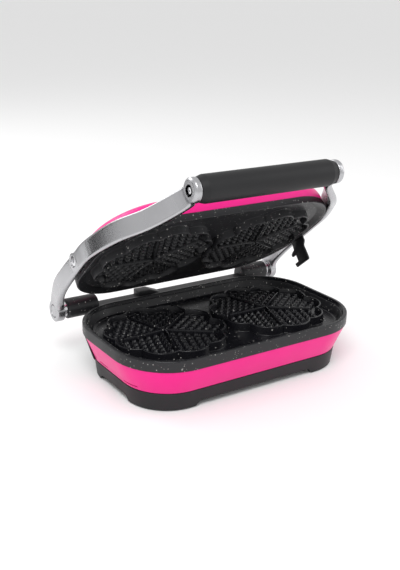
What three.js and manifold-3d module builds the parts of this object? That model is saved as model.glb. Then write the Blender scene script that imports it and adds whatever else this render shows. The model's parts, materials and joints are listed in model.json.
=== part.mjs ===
// A two-waffle iron with a floating lid carried on two curved arms.
// Millimetres, +Z up, -Y to the front. The origin is under the middle of the machine as it stands open.
import * as THREE from 'three';
import { mergeVertices } from 'three/addons/utils/BufferGeometryUtils.js';
import Module from 'manifold-3d';

const wasm = await Module();
wasm.setup();

// ---------------------------------------------------------------- driving dimensions

const GAP = 0.35; // between pieces that touch
const RUNNING = 0.5; // between a pin and the hole that turns on it

const WIDTH = 340; // rim of the lower plate, left to right
const DEPTH = 212.6; // rim of the lower plate, front to back
const CORNER = 73; // corner radius of that rim
const RIM_TOP = 72.2; // height of the rim above the table
const SKIRT = 14; // height of the rim's outer wall
const CASTING = 3.2; // wall of a cooking plate

const SHELL_TOP = 24.1; // top edge of the black bottom shell
const SHELL_INSET = 14.2; // how far that edge stands inside the rim
const FOOT_INSET = 17.3; // the same at the table
const FOOT_HEIGHT = 7.9; // clear height of the arches between the feet
const FOOT_HALF_X = 84; // half of the arch under the front and the rear
const FOOT_HALF_Y = 31; // half of the arch under each side
const FOOT_SLOPE = 8; // run of an arch's sloping end
const PLASTIC = 2.6; // wall of the moulded covers
const SEAM = 0.7; // shadow gap between the band and the bottom shell

const TRAY_DEPTH = 15.2; // rim to floor of the lower plate
const TRAY_SLOPE = 13.5; // inset of the lower floor from the rim outline
const DISH_DEPTH = 5; // rim to floor of the upper plate
const DISH_SLOPE = 12;
const KERB_LOWER = 7.5; // kerb of a lower mould above its floor
const MOULD_RAISE = 3.5; // floor of a lower mould above the tray's floor
const MOULD_MEET = 2.1; // gap between the two kerbs when shut
const MOULD_DEPTH = 7.5; // depth of an upper mould inside its kerb
const KERB_WALL = 3.4;
const MOULD_EDGE = 0.6; // mould to foot of the tray wall
const MOULD_APART = 5; // between the two moulds

const LID_GAP = 2.7; // rim to rim when shut
const LID_OVERHANG = 1.65; // lid rim past the lower rim at each side
const LID_FRONT = 2.7; // lid rim behind the lower rim at the front
const LID_REAR = 4.2; // lid rim ahead of the lower rim at the rear
const LID_CORNER = 80;
const LID_SKIRT = 9; // outer wall of the upper plate
const DOME = 31; // coloured cover above the upper plate's wall

const BARREL_OVER = 2.6; // how far a hinge barrel reaches in past the line of the rear rim
const HINGE_DROP = 1.6; // hinge axis below the rim
const BARREL = 13.3; // radius of a hinge barrel
const BARREL_IN = 52; // inner end of a barrel, in from the rim's side
const BARREL_OUT = 8; // its outer end, in from the rim's side
const SPACER = 5.5; // length of the collar between barrel and arm
const PIN = 4; // radius of a hinge pin

const OPEN = 40.97; // degrees the lid stands open
const ARM_END = 14.5; // radius of an arm's hinge end
const ARM_THICK = 7.8;
const ARM_CLEAR = 3.7; // lid side to arm, where the latch swings
const PIVOT_BACK = 1.55; // lid pivot behind the lid's middle
const PIVOT_RISE = 18.9; // lid pivot above the hinge axis, shut
const HANDLE_FRONT = 65; // handle axis ahead of the lid's front edge
const HANDLE_RISE = 11; // handle axis above the hinge axis, shut
const GRIP = 16.4; // radius of the handle grip
const GRIP_IN = 72.85; // end of the grip, in from the line of the rim's side
const BOSS = 14.6; // radius of an arm's handle end
const BOSS_LONG = 9;

const LATCH_THICK = 2.8;
const LATCH_BACK = 31.2; // latch pivot behind the lid pivot
const LATCH_UP = 4.6; // latch pivot above the lid's rim
const HOOKED = 26; // degrees the latch turns to take the catch

const ROUND = 4; // half the sides of a quarter turn on the large corners

// ---------------------------------------------------------------- sizes that follow

const rad = THREE.MathUtils.degToRad;
const lerp = THREE.MathUtils.lerp;
const RIM = { width: WIDTH, depth: DEPTH, corner: CORNER };
const LID = {
  width: WIDTH + 2 * LID_OVERHANG,
  depth: DEPTH - LID_FRONT - LID_REAR,
  corner: LID_CORNER,
  y: (LID_FRONT - LID_REAR) / 2,
  z: RIM_TOP + LID_GAP,
};
const SKIRT_FOOT = RIM_TOP - SKIRT;
const FLOOR = RIM_TOP - TRAY_DEPTH;
const TRAY_UNDER = FLOOR - CASTING;
const DOME_FOOT = LID.z + LID_SKIRT + GAP;
const HINGE = { y: DEPTH / 2 + BARREL - BARREL_OVER, z: RIM_TOP - HINGE_DROP };
const PIVOT = { y: LID.y + PIVOT_BACK, z: HINGE.z + PIVOT_RISE };
const LID_FRONT_Y = LID.y - LID.depth / 2;
const HANDLE = { y: LID_FRONT_Y - HANDLE_FRONT, z: HINGE.z + HANDLE_RISE };
const GRIP_HALF = WIDTH / 2 - GRIP_IN;
const LATCH = {
  x: LID.width / 2 + (ARM_CLEAR - LATCH_THICK) / 2,
  y: PIVOT.y + LATCH_BACK,
  z: LID.z + LATCH_UP,
};
const BARREL_FROM = WIDTH / 2 - BARREL_IN;
const BARREL_TO = WIDTH / 2 - BARREL_OUT;
const ARM_IN = BARREL_TO + SPACER; // inner face of an arm at the hinge
const ARM_HINGE_THICK = 11;
const ARM_SIDE = LID.width / 2 + ARM_CLEAR; // inner face of an arm beside the lid

// The catch stands where the latch's notch comes to when the latch is turned to hook.
const CATCH = 2.8; // radius of the catch stud
const NOTCH = { y: 18, z: -26.5 }; // middle of the notch from the latch's pivot
const CATCH_AT = {
  y: LATCH.y + NOTCH.y * Math.cos(rad(HOOKED)) - NOTCH.z * Math.sin(rad(HOOKED)),
  z: LATCH.z + NOTCH.y * Math.sin(rad(HOOKED)) + NOTCH.z * Math.cos(rad(HOOKED)),
};
const RIM_CORNER_Y = DEPTH / 2 - CORNER; // where the rim's side starts to round
const RIM_SIDE = // how far out the rim's side is at the catch
  WIDTH / 2 - CORNER + Math.sqrt(CORNER ** 2 - Math.max(0, CATCH_AT.y - RIM_CORNER_Y) ** 2);
const CATCH_FROM = RIM_SIDE - CASTING - 1.5; // the stud's inner end, through the rim's wall

// Both moulds fit the tray's floor, side by side.
const HEARTS = 5;
const FLOWER_SIDE = (2 * Math.cos(Math.PI / (2 * HEARTS)) + 1) / 3; // half a mould's width, by its radius
const MOULD_RADIUS = Math.min(
  (WIDTH / 2 - TRAY_SLOPE - MOULD_EDGE - MOULD_APART / 2) / (2 * FLOWER_SIDE),
  DEPTH / 2 - TRAY_SLOPE - MOULD_EDGE,
);
const MOULD_X = MOULD_RADIUS * FLOWER_SIDE + MOULD_APART / 2;
const LOBE = MOULD_RADIUS / 3; // radius of one lobe of a heart

// The machine is centred on its box as it stands open: grip at the front, arm ends at the rear.
const OPENED_GRIP_Y =
  HINGE.y - (HINGE.y - HANDLE.y) * Math.cos(rad(OPEN)) + HANDLE_RISE * Math.sin(rad(OPEN)) - GRIP;
const CENTRE_Y = (OPENED_GRIP_Y + HINGE.y + ARM_END) / 2;

// ---------------------------------------------------------------- finishes

const finish = (color, roughness, metalness) =>
  new THREE.MeshStandardMaterial({ color, roughness, metalness });
const FINISH = {
  black: finish(0x303032, 0.55, 0),
  pink: finish(0xee248c, 0.28, 0),
  coated: finish(0x3a3a3c, 0.5, 0.3),
  alloy: finish(0xa8a9ad, 0.38, 1),
  steel: finish(0xc4c6c9, 0.3, 1),
  grip: finish(0x2b2b2d, 0.62, 0),
  rubber: finish(0x1c1c1d, 0.85, 0),
  ceramic: finish(0xd8d2c4, 0.6, 0),
  lens: finish(0xc4281c, 0.2, 0),
};

// ---------------------------------------------------------------- ways of making solids

/** The closed solid of a three.js geometry, its faces turned outwards. */
function solid(made) {
  const bare = new THREE.BufferGeometry();
  const open = made.index ? made.toNonIndexed() : made;
  bare.setAttribute('position', open.getAttribute('position'));
  const merged = mergeVertices(bare, 1e-4);
  const faces = new Uint32Array(merged.index.array);
  const body = (triVerts) =>
    new wasm.Manifold(
      new wasm.Mesh({ numProp: 3, vertProperties: merged.attributes.position.array, triVerts }),
    );
  const first = body(faces);
  if (first.volume() > 0) return first;
  for (let i = 0; i < faces.length; i += 3) [faces[i], faces[i + 1]] = [faces[i + 1], faces[i]];
  return body(faces);
}

/** A rounded rectangle about the origin. */
function roundedRect(width, depth, corner) {
  const x = width / 2 - corner;
  const y = depth / 2 - corner;
  const quarter = Math.PI / 2;
  const shape = new THREE.Shape();
  shape.absarc(x, -y, corner, -quarter, 0);
  shape.absarc(x, y, corner, 0, quarter);
  shape.absarc(-x, y, corner, quarter, 2 * quarter);
  shape.absarc(-x, -y, corner, 2 * quarter, 3 * quarter);
  return shape;
}

/** A closed wall round an outline. Each level is [inset from the outline, height], first to last. */
function loft({ width, depth, corner }, levels) {
  const steps = levels.length - 1;
  const shape = roundedRect(width, depth, corner);
  const options = { depth: steps, steps, bevelEnabled: false, curveSegments: ROUND };
  const made = new THREE.ExtrudeGeometry(shape, options);
  const halfX = width / 2 - corner;
  const halfY = depth / 2 - corner;
  const at = made.getAttribute('position');
  for (let i = 0; i < at.count; i++) {
    const [inset, height] = levels[Math.round(at.getZ(i))];
    const coreX = THREE.MathUtils.clamp(at.getX(i), -halfX, halfX);
    const coreY = THREE.MathUtils.clamp(at.getY(i), -halfY, halfY);
    const shrink = (corner - inset) / corner;
    at.setXYZ(
      i,
      coreX + (at.getX(i) - coreX) * shrink,
      coreY + (at.getY(i) - coreY) * shrink,
      height,
    );
  }
  return solid(made);
}

/** A box between two corners. */
function box(x0, y0, z0, x1, y1, z1) {
  return solid(new THREE.BoxGeometry(x1 - x0, y1 - y0, z1 - z0)).translate([
    (x0 + x1) / 2,
    (y0 + y1) / 2,
    (z0 + z1) / 2,
  ]);
}

/** A round bar along X, from x0 to x1. */
function bar(radius, x0, x1, y, z, sides = 20) {
  const made = new THREE.CylinderGeometry(radius, radius, x1 - x0, sides).rotateZ(Math.PI / 2);
  return solid(made).translate([(x0 + x1) / 2, y, z]);
}

/** A round post along Z, from z0 to z1. */
function post(radius, x, y, z0, z1, sides = 16) {
  const made = new THREE.CylinderGeometry(radius, radius, z1 - z0, sides).rotateX(Math.PI / 2);
  return solid(made).translate([x, y, (z0 + z1) / 2]);
}

/** A turned piece about the X axis. Each point is [x, radius]; the profile closes on itself. */
function turned(points, y, z, sides = 28) {
  const profile = [...points, points[0]].map(([along, radius]) => new THREE.Vector2(radius, along));
  const made = new THREE.LatheGeometry(profile, sides).rotateZ(-Math.PI / 2);
  return solid(made).translate([0, y, z]);
}

/** An outline in the YZ plane, given a thickness from x0 to x1. */
function slab(shape, x0, x1, curveSegments = 6) {
  const options = { depth: x1 - x0, bevelEnabled: false, curveSegments };
  const made = new THREE.ExtrudeGeometry(shape, options);
  // Shape x becomes +Y, shape y becomes +Z and the thickness becomes +X.
  made.applyMatrix4(new THREE.Matrix4().set(0, 0, 1, x0, 1, 0, 0, 0, 0, 1, 0, 0, 0, 0, 0, 1));
  return solid(made);
}

function polygon(points) {
  return new THREE.Shape(points.map(([x, y]) => new THREE.Vector2(x, y)));
}

function union(first, ...rest) {
  return rest.reduce((body, next) => body.add(next), first);
}

function cut(first, ...rest) {
  return rest.reduce((body, next) => body.subtract(next), first);
}

/** Puts a solid into the scene graph as a named mesh. */
function addPart(parent, name, body, material) {
  const { vertProperties, triVerts } = body.getMesh();
  const made = new THREE.BufferGeometry();
  made.setAttribute('position', new THREE.BufferAttribute(vertProperties, 3));
  made.setIndex(new THREE.BufferAttribute(triVerts, 1));
  made.computeVertexNormals();
  const mesh = new THREE.Mesh(made, material);
  mesh.name = name;
  parent.add(mesh);
  return mesh;
}

/** A group that turns about an axis along X; what it holds is placed as on the shut machine. */
function hinged(parent, { y, z }, degrees) {
  const turning = new THREE.Group();
  turning.position.set(0, y, z);
  turning.rotation.x = rad(degrees);
  parent.add(turning);
  const shut = new THREE.Group();
  shut.position.set(0, -y, -z);
  turning.add(shut);
  return shut;
}

const SIDES = [
  { name: 'left', sign: -1 },
  { name: 'right', sign: 1 },
];

/** A solid made for the right side, or its mirror image for the left. */
function onSide(body, sign) {
  return sign > 0 ? body : body.mirror([1, 0, 0]);
}

// ---------------------------------------------------------------- cooking plates

/** The outline of five hearts round a centre: ten lobes with a cleft between each pair. */
function flower(inset) {
  const reach = MOULD_RADIUS - LOBE;
  const radius = LOBE - inset;
  const half = Math.PI / (2 * HEARTS);
  const along = reach * Math.cos(half) + Math.sqrt(radius ** 2 - (reach * Math.sin(half)) ** 2);
  const spread = Math.atan2(along * Math.sin(half), along * Math.cos(half) - reach);
  const shape = new THREE.Shape();
  for (let lobe = 0; lobe < 2 * HEARTS; lobe++) {
    const turn = (2 * lobe + 1) * half;
    const x = reach * Math.cos(turn);
    const y = reach * Math.sin(turn);
    shape.absarc(x, y, radius, turn - spread, turn + spread);
  }
  return shape;
}

function flowerBlock(inset, low, high) {
  const options = { depth: high - low, bevelEnabled: false, curveSegments: 2 };
  return solid(new THREE.ExtrudeGeometry(flower(inset), options)).translate([0, 0, low]);
}

/** One mould: a scalloped kerb round a floor, with a rib between neighbouring hearts. */
function mould(root, floor, top) {
  const ribLength = MOULD_RADIUS - KERB_WALL * 2;
  const ribWidth = 3;
  let body = cut(flowerBlock(0, root, top), flowerBlock(KERB_WALL, floor, top + 1));
  for (let heart = 0; heart < HEARTS; heart++) {
    const turn = (heart + 0.5) * (360 / HEARTS);
    const rib = box(-ribWidth / 2, -ribWidth / 2, root, ribLength, ribWidth / 2, top - 1.5);
    body = body.add(rib.rotate([0, 0, turn]));
  }
  return body;
}

/** A cast plate, face up, its rim at height 0: skirt, land, sloping wall, floor and two moulds. */
function cookingPlate(outline, { skirt, depth, slope, land, mouldFloor, kerbTop }) {
  const under = CASTING + 0.8;
  const pan = loft(outline, [
    [slope + 1.5, -depth - CASTING],
    [land + CASTING, -under],
    [CASTING, -under],
    [CASTING, -skirt],
    [0, -skirt],
    [0, -1],
    [1, 0],
    [land, 0],
    [slope, -depth],
  ]);
  const root = -depth - CASTING / 2;
  const moulds = [-MOULD_X, MOULD_X].map((x) => mould(root, mouldFloor, kerbTop).translate([x, 0, 0]));
  return union(pan, ...moulds);
}

function lowerPlate() {
  const face = {
    skirt: SKIRT,
    depth: TRAY_DEPTH,
    slope: TRAY_SLOPE,
    land: 4.5,
    mouldFloor: MOULD_RAISE - TRAY_DEPTH,
    kerbTop: MOULD_RAISE + KERB_LOWER - TRAY_DEPTH,
  };
  const stud = bar(CATCH + GAP, CATCH_FROM - GAP, WIDTH, CATCH_AT.y, CATCH_AT.z, 20);
  return cookingPlate(RIM, face).translate([0, 0, RIM_TOP]).subtract(stud);
}

const KERB_UPPER = TRAY_DEPTH - MOULD_RAISE - KERB_LOWER + LID_GAP - MOULD_MEET; // past the lid's rim

function upperPlate() {
  const face = {
    skirt: LID_SKIRT,
    depth: DISH_DEPTH,
    slope: DISH_SLOPE,
    land: 2.5,
    mouldFloor: KERB_UPPER - MOULD_DEPTH,
    kerbTop: KERB_UPPER,
  };
  return cookingPlate(LID, face).rotate([180, 0, 0]).translate([0, LID.y, LID.z]);
}

// ---------------------------------------------------------------- base

const SHELL_BOTTOM = 1.2; // the feet stand this far above the table, on their pads
const TUB_FLOOR = FOOT_HEIGHT + PLASTIC;
const SCREW_SPOTS = [-1, 1].flatMap((x) => [-1, 1].map((y) => [x, y]));
const screwAt = ([x, y]) => [x * (WIDTH / 2 - 60), y * (DEPTH / 2 - 52)];
const footAt = ([x, y]) => [x * (WIDTH / 2 - 51), y * (DEPTH / 2 - 43)];
const FOOT_PAD = 9;
const SCREW = { shank: 2, head: 4, seat: FOOT_HEIGHT + 2.8 }; // a base screw, its head sunk into the floor

/** The space under the machine between two feet, as a prism with sloping ends along X. */
function arch(half, reach) {
  const options = { depth: 2 * reach, bevelEnabled: false };
  const ends = half + FOOT_SLOPE;
  const shape = polygon([
    [-ends, -1],
    [ends, -1],
    [half, FOOT_HEIGHT],
    [-half, FOOT_HEIGHT],
  ]);
  return solid(new THREE.ExtrudeGeometry(shape, options).rotateX(Math.PI / 2)).translate([0, reach, 0]);
}

function baseShell() {
  const lean = (FOOT_INSET - SHELL_INSET) / SHELL_TOP;
  const inside = SHELL_INSET + PLASTIC;
  const tub = loft(RIM, [
    [FOOT_INSET - lean * SHELL_BOTTOM, SHELL_BOTTOM],
    [SHELL_INSET, SHELL_TOP],
    [inside, SHELL_TOP],
    [inside + lean * (SHELL_TOP - TUB_FLOOR), TUB_FLOOR],
  ]);
  const between = [
    arch(FOOT_HALF_X, DEPTH),
    arch(FOOT_HALF_Y, WIDTH).rotate([0, 0, 90]),
  ];
  let shell = cut(tub, ...between);
  for (const spot of SCREW_SPOTS) {
    const [x, y] = screwAt(spot);
    const [padX, padY] = footAt(spot);
    shell = shell.add(post(5.5, x, y, TUB_FLOOR - 1, SHELL_TOP - 2));
    const shankHole = post(SCREW.shank + GAP, x, y, 0, SHELL_TOP);
    const headHole = post(SCREW.head + GAP, x, y, 0, SCREW.seat);
    shell = cut(shell, shankHole, headHole);
    shell = shell.subtract(post(FOOT_PAD + GAP, padX, padY, 0, SHELL_BOTTOM + 2.2));
  }
  const pitch = 14;
  const slots = [-2, -1, 0, 1, 2].map((n) =>
    box(n * pitch - 2, -24, FOOT_HEIGHT - 1, n * pitch + 2, 24, TUB_FLOOR + 1),
  );
  return cut(shell, ...slots);
}

/** The wall between the bottom shell and the rim, all the way round. */
function wallRing(lowInset, highInset) {
  const low = SHELL_TOP + SEAM;
  const high = SKIRT_FOOT - GAP;
  const outer = loft(RIM, [[lowInset, low], [highInset, high]]);
  const inner = loft(RIM, [[lowInset + PLASTIC, low - 1], [highInset + PLASTIC, high + 1]]);
  return outer.subtract(inner);
}

const BAND_END = 44; // the band stops here behind the middle, and the rear housing starts
const BAND_FOOT = SHELL_INSET + 0.2;
const BAND_HEAD = 1;

function bodyBand() {
  const ring = wallRing(BAND_FOOT, BAND_HEAD);
  const rear = box(-WIDTH, BAND_END, 0, WIDTH, DEPTH, RIM_TOP);
  const slotZ = SHELL_TOP + 4.4;
  const slots = [-1, 1].flatMap((side) =>
    [[-58, -34], [6, 28]].map(([front, back]) => {
      const x = side * (WIDTH / 2 - 26);
      return box(Math.min(x, side * WIDTH), front, slotZ, Math.max(x, side * WIDTH), back, slotZ + 1.5);
    }),
  );
  return cut(ring, rear, ...slots);
}

const BLOCK_HALF = BARREL_FROM - GAP - 0.3;
const BLOCK_BACK = HINGE.y + BARREL - 1.5;
const BLOCK_TOP = RIM_TOP - 2.4;
const TONGUE = { y0: HINGE.y - 6, y1: HINGE.y + 7, z0: HINGE.z - 21, z1: HINGE.z - 5 };
const GLAND = { x: 55, z: HINGE.z - 24, radius: 6.5, neck: 5, bore: 3.2, flange: 2.4 };

/** The hinge block's side view; grow moves its walls outwards. */
function blockProfile(grow) {
  const front = DEPTH / 2 + GAP + 0.2 - grow;
  const middle = SKIRT_FOOT - GAP;
  return polygon([
    [DEPTH / 2 - SHELL_INSET + 2 - grow, SHELL_TOP + SEAM - grow],
    [DEPTH / 2 - 4, SHELL_TOP + SEAM - grow],
    [BLOCK_BACK - 4 + grow, HINGE.z - 34 - grow],
    [BLOCK_BACK + grow, HINGE.z - 26],
    [BLOCK_BACK + grow, BLOCK_TOP - 5],
    [BLOCK_BACK - 5, BLOCK_TOP + grow],
    [front, BLOCK_TOP + grow],
    [front, middle - 0.2 + grow],
    [DEPTH / 2 - 5 - grow, middle - 0.2 + grow],
  ]);
}

function rearHousing() {
  const ring = wallRing(BAND_FOOT - 2.6, BAND_HEAD);
  const front = box(-WIDTH, -DEPTH, 0, WIDTH, BAND_END + GAP, RIM_TOP);
  const wall = ring.subtract(front);
  const block = slab(blockProfile(0), -BLOCK_HALF, BLOCK_HALF);
  const hollowHalf = BLOCK_HALF - PLASTIC;
  const hollow = slab(blockProfile(-PLASTIC), -hollowHalf, hollowHalf);
  const behind = box(-hollowHalf, 0, SHELL_TOP, hollowHalf, DEPTH / 2 - 2, SKIRT_FOOT - 3);
  const tongues = SIDES.map(({ sign }) => {
    const hole = box(
      BLOCK_HALF - 22,
      TONGUE.y0 - GAP,
      TONGUE.z0 - GAP,
      BLOCK_HALF + 1,
      TONGUE.y1 + GAP,
      TONGUE.z1 + GAP,
    );
    return onSide(hole, sign);
  });
  const gland = post(GLAND.neck + GAP, 0, 0, -20, 20).rotate([90, 0, 0]);
  const body = union(wall, block).subtract(cut(hollow, behind)).subtract(behind);
  return cut(
    union(body, leadDuct()),
    ...tongues,
    gland.translate([GLAND.x, BLOCK_BACK, GLAND.z]),
  );
}

const DUCT = { left: -56, knee: -38, right: -20, rise: 5.2, deep: 16 };

/** The duct that takes the lid's lead, standing on the hinge block left of the middle. */
function leadDuct() {
  const high = RIM_TOP + DUCT.rise;
  const root = BLOCK_TOP - 1;
  const shape = polygon([
    [DUCT.left, root],
    [DUCT.right, root],
    [DUCT.right, BLOCK_TOP + 0.5],
    [DUCT.knee, high],
    [DUCT.left, high],
  ]);
  const options = { depth: DUCT.deep, bevelEnabled: false };
  const made = new THREE.ExtrudeGeometry(shape, options).rotateX(Math.PI / 2);
  return solid(made).translate([0, HINGE.y + 7, 0]);
}

function cordGland() {
  const flange = post(GLAND.radius, 0, 0, 0, GLAND.flange);
  const neck = post(GLAND.neck, 0, 0, -PLASTIC - 5, 1);
  return cut(union(flange, neck), post(GLAND.bore, 0, 0, -20, 20))
    .rotate([-90, 0, 0])
    .translate([GLAND.x, BLOCK_BACK + GAP, GLAND.z]);
}

function hingeBarrel() {
  const barrel = turned(
    [
      [BARREL_FROM, 2],
      [BARREL_FROM, BARREL - 2],
      [BARREL_FROM + 2, BARREL],
      [BARREL_TO - 1, BARREL],
      [BARREL_TO, BARREL - 1],
      [BARREL_TO, PIN + GAP],
      [BARREL_FROM + 12, PIN + GAP],
      [BARREL_FROM + 12, 2],
    ],
    HINGE.y,
    HINGE.z,
  );
  const tongue = box(BLOCK_HALF - 20, TONGUE.y0, TONGUE.z0, BARREL_FROM + 16, TONGUE.y1, TONGUE.z1);
  return barrel.add(tongue);
}

function hingePin() {
  const outer = ARM_IN + ARM_HINGE_THICK - 2.6;
  return bar(PIN, BARREL_FROM + 12 + GAP, outer, HINGE.y, HINGE.z);
}

// ---------------------------------------------------------------- heating and wiring

const ELEMENT = 3.3; // radius of the element tube

/** An element tube: an oval loop, open at the rear, with its two ends turned away from the plate. */
function element(width, depth, z, away) {
  const halfX = width / 2;
  const halfY = depth / 2;
  const tail = (x, rise) => new THREE.Vector3(x, halfY, z + rise * away);
  const points = [tail(9, 7), tail(11, 2.5)];
  const turns = 16;
  const oval = (share) => Math.sign(share) * Math.abs(share) ** 0.7;
  for (let i = 0; i <= turns; i++) {
    const angle = lerp(rad(78), rad(-258), i / turns);
    points.push(new THREE.Vector3(halfX * oval(Math.cos(angle)), halfY * oval(Math.sin(angle)), z));
  }
  points.push(tail(-11, 2.5), tail(-9, 7));
  const section = new THREE.Shape().absarc(0, 0, ELEMENT, 0, 2 * Math.PI);
  const options = {
    extrudePath: new THREE.CatmullRomCurve3(points),
    steps: 44,
    curveSegments: 3,
    bevelEnabled: false,
  };
  return solid(new THREE.ExtrudeGeometry(section, options));
}

function addHeating(base, lid) {
  const sheet = 1;
  const panInset = 30;
  // Both elements run a set way inside the walls of their reflectors.
  const loopWidth = WIDTH - 2 * (panInset + 16.3);
  const loopDepth = LID.depth - 2 * (panInset + 11);
  const lowerZ = TRAY_UNDER - GAP - ELEMENT;
  addPart(base, 'lower_element', element(loopWidth, loopDepth, lowerZ, -1), FINISH.steel);
  const panLow = lowerZ - ELEMENT - 9;
  const lowerPan = loft(RIM, [
    [panInset, panLow],
    [panInset - 5, lowerZ + 1],
    [panInset - 5 + sheet, lowerZ + 1],
    [panInset + sheet, panLow + sheet],
  ]);
  addPart(base, 'lower_reflector', lowerPan, FINISH.steel);
  const statLow = TRAY_UNDER - GAP;
  addPart(base, 'lower_thermostat', post(8.5, 0, 18, statLow - 7.5, statLow), FINISH.ceramic);
  addPart(base, 'thermal_fuse', bar(2.6, -12, 12, -16, statLow - 3, 16), FINISH.ceramic);
  const blockLow = TUB_FLOOR + GAP;
  addPart(base, 'terminal_block', box(40, 56, blockLow, 74, 70, blockLow + 13), FINISH.ceramic);

  const plateBack = LID.z + DISH_DEPTH + CASTING;
  const upperZ = plateBack + GAP + ELEMENT;
  const upperLoop = element(loopWidth, loopDepth, upperZ, 1).translate([0, LID.y, 0]);
  addPart(lid, 'upper_element', upperLoop, FINISH.steel);
  const coverLow = upperZ + ELEMENT + 8.5;
  const upperPan = loft(LID, [
    [panInset + sheet, coverLow - sheet],
    [panInset - 3 + sheet, plateBack + 3],
    [panInset - 3, plateBack + 3],
    [panInset, coverLow],
  ]);
  addPart(lid, 'upper_reflector', upperPan.translate([0, LID.y, 0]), FINISH.steel);
  const upperStat = post(8.5, 0, 18, plateBack + GAP, plateBack + GAP + 7.5);
  addPart(lid, 'upper_thermostat', upperStat, FINISH.ceramic);
}

// ---------------------------------------------------------------- lid

const BUSH = 5; // radius of a lid pivot bush
const BUSH_NECK = 4.1; // the same inside the chassis
const PIVOT_SHANK = 2.6;
const LAMP = 3.6;
const LAMP_Y = -52;
const LAMPS = [
  { name: 'power_light', x: -9 },
  { name: 'ready_light', x: 9 },
];
const CHASSIS_X = LID.width / 2 - 7; // outer face of the ears that hold the bushes

/** The dome's section: how far in from the lid's outline, and the share of its height there. */
const DOME_LEVELS = [
  [0.8, 0],
  [1.2, 0.3],
  [3.4, 0.52],
  [8.5, 0.74],
  [18, 0.89],
  [34, 0.97],
  [66, 1],
];

function lidCover() {
  const outside = DOME_LEVELS.map(([inset, rise]) => [inset, DOME_FOOT + rise * DOME]);
  const inside = DOME_LEVELS.map(([inset, rise]) => [
    Math.min(inset + PLASTIC, LID_CORNER - 6),
    DOME_FOOT + rise * (DOME - PLASTIC),
  ]);
  const dome = loft(LID, [...inside.reverse(), ...outside]).translate([0, LID.y, 0]);
  const holes = SIDES.map(({ sign }) =>
    onSide(bar(BUSH + GAP, LID.width / 2 - 12, LID.width, PIVOT.y, PIVOT.z, 24), sign),
  );
  const lamps = LAMPS.map(({ x }) => post(LAMP + GAP, x, LAMP_Y, DOME_FOOT + DOME / 2, DOME_FOOT + DOME + 9));
  return cut(dome, ...holes, ...lamps);
}

function lidChassis() {
  const low = DOME_FOOT;
  const frame = loft(LID, [[9, low], [9, low + 1.6]]);
  const window = loft(LID, [[22, low - 1], [22, low + 3]]);
  const ears = SIDES.map(({ sign }) => {
    const ear = box(CHASSIS_X - 9, PIVOT.y - 11, low, CHASSIS_X, PIVOT.y + 11, PIVOT.z + 7);
    return onSide(ear, sign);
  });
  const bore = bar(BUSH_NECK + GAP, -WIDTH, WIDTH, PIVOT.y, PIVOT.z);
  return union(frame.subtract(window).translate([0, LID.y, 0]), ...ears).subtract(bore);
}

function pivotBush() {
  const inner = PIVOT_SHANK + RUNNING;
  return turned(
    [
      [CHASSIS_X - 8, inner],
      [CHASSIS_X - 8, BUSH_NECK],
      [CHASSIS_X + GAP, BUSH_NECK],
      [CHASSIS_X + GAP, BUSH],
      [ARM_SIDE - GAP, BUSH],
      [ARM_SIDE - GAP, inner],
    ],
    PIVOT.y,
    PIVOT.z,
    24,
  );
}

function lamp(x) {
  const top = DOME_FOOT + DOME;
  return union(post(LAMP, x, LAMP_Y, top - 6, top + 0.9), post(LAMP - 1.2, x, LAMP_Y, top - 6, top + 1.5));
}

// ---------------------------------------------------------------- arms and handle

const PIVOT_BOSS = 10;
const HANDLE_X = GRIP_HALF + GAP + BOSS_LONG / 2;
const ARM_HINGE_X = ARM_IN + ARM_HINGE_THICK / 2;
const ARM_SIDE_X = ARM_SIDE + ARM_THICK / 2;

// Ahead of the lid pivot the arm bends in round the lid's front corner: the places across are
// shares of the way in to the handle, those front to back are set from the lid's front edge.
const armX = (share) => lerp(ARM_SIDE_X, HANDLE_X, share);
const ahead = (distance) => LID_FRONT_Y - distance;

/** Sections along the right arm, shut: where its middle is, and how tall and thick it is there. */
const ARM_STATIONS = [
  { x: ARM_HINGE_X, y: HINGE.y, z: HINGE.z, tall: 25, thick: ARM_HINGE_THICK },
  { x: ARM_HINGE_X + 1, y: HINGE.y - 16, z: HINGE.z + 11.2, tall: 25.3, thick: 10.2 },
  { x: ARM_SIDE_X - 1.5, y: lerp(HINGE.y, PIVOT.y, 0.37), z: HINGE.z + 16.3, tall: 25.5, thick: 8.6 },
  { x: ARM_SIDE_X, y: lerp(HINGE.y, PIVOT.y, 0.68), z: HINGE.z + 16.9, tall: 24.3, thick: ARM_THICK },
  { x: ARM_SIDE_X, y: PIVOT.y, z: PIVOT.z - 2.6, tall: 23.2, thick: ARM_THICK },
  { x: ARM_SIDE_X - 2.4, y: ahead(-65.9), z: HINGE.z + 15.7, tall: 23.4, thick: 8.4 },
  { x: armX(0.275), y: ahead(-23.9), z: HINGE.z + 13.8, tall: 26, thick: 9.4 },
  { x: armX(0.6), y: ahead(10.8), z: HINGE.z + 8.7, tall: 25.8, thick: 9.6 },
  { x: armX(1.015), y: ahead(46.4), z: HANDLE.z + 0.3, tall: 24.8, thick: 9 },
  { x: HANDLE_X, y: HANDLE.y, z: HANDLE.z, tall: 24, thick: 8.6 },
];

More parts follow.
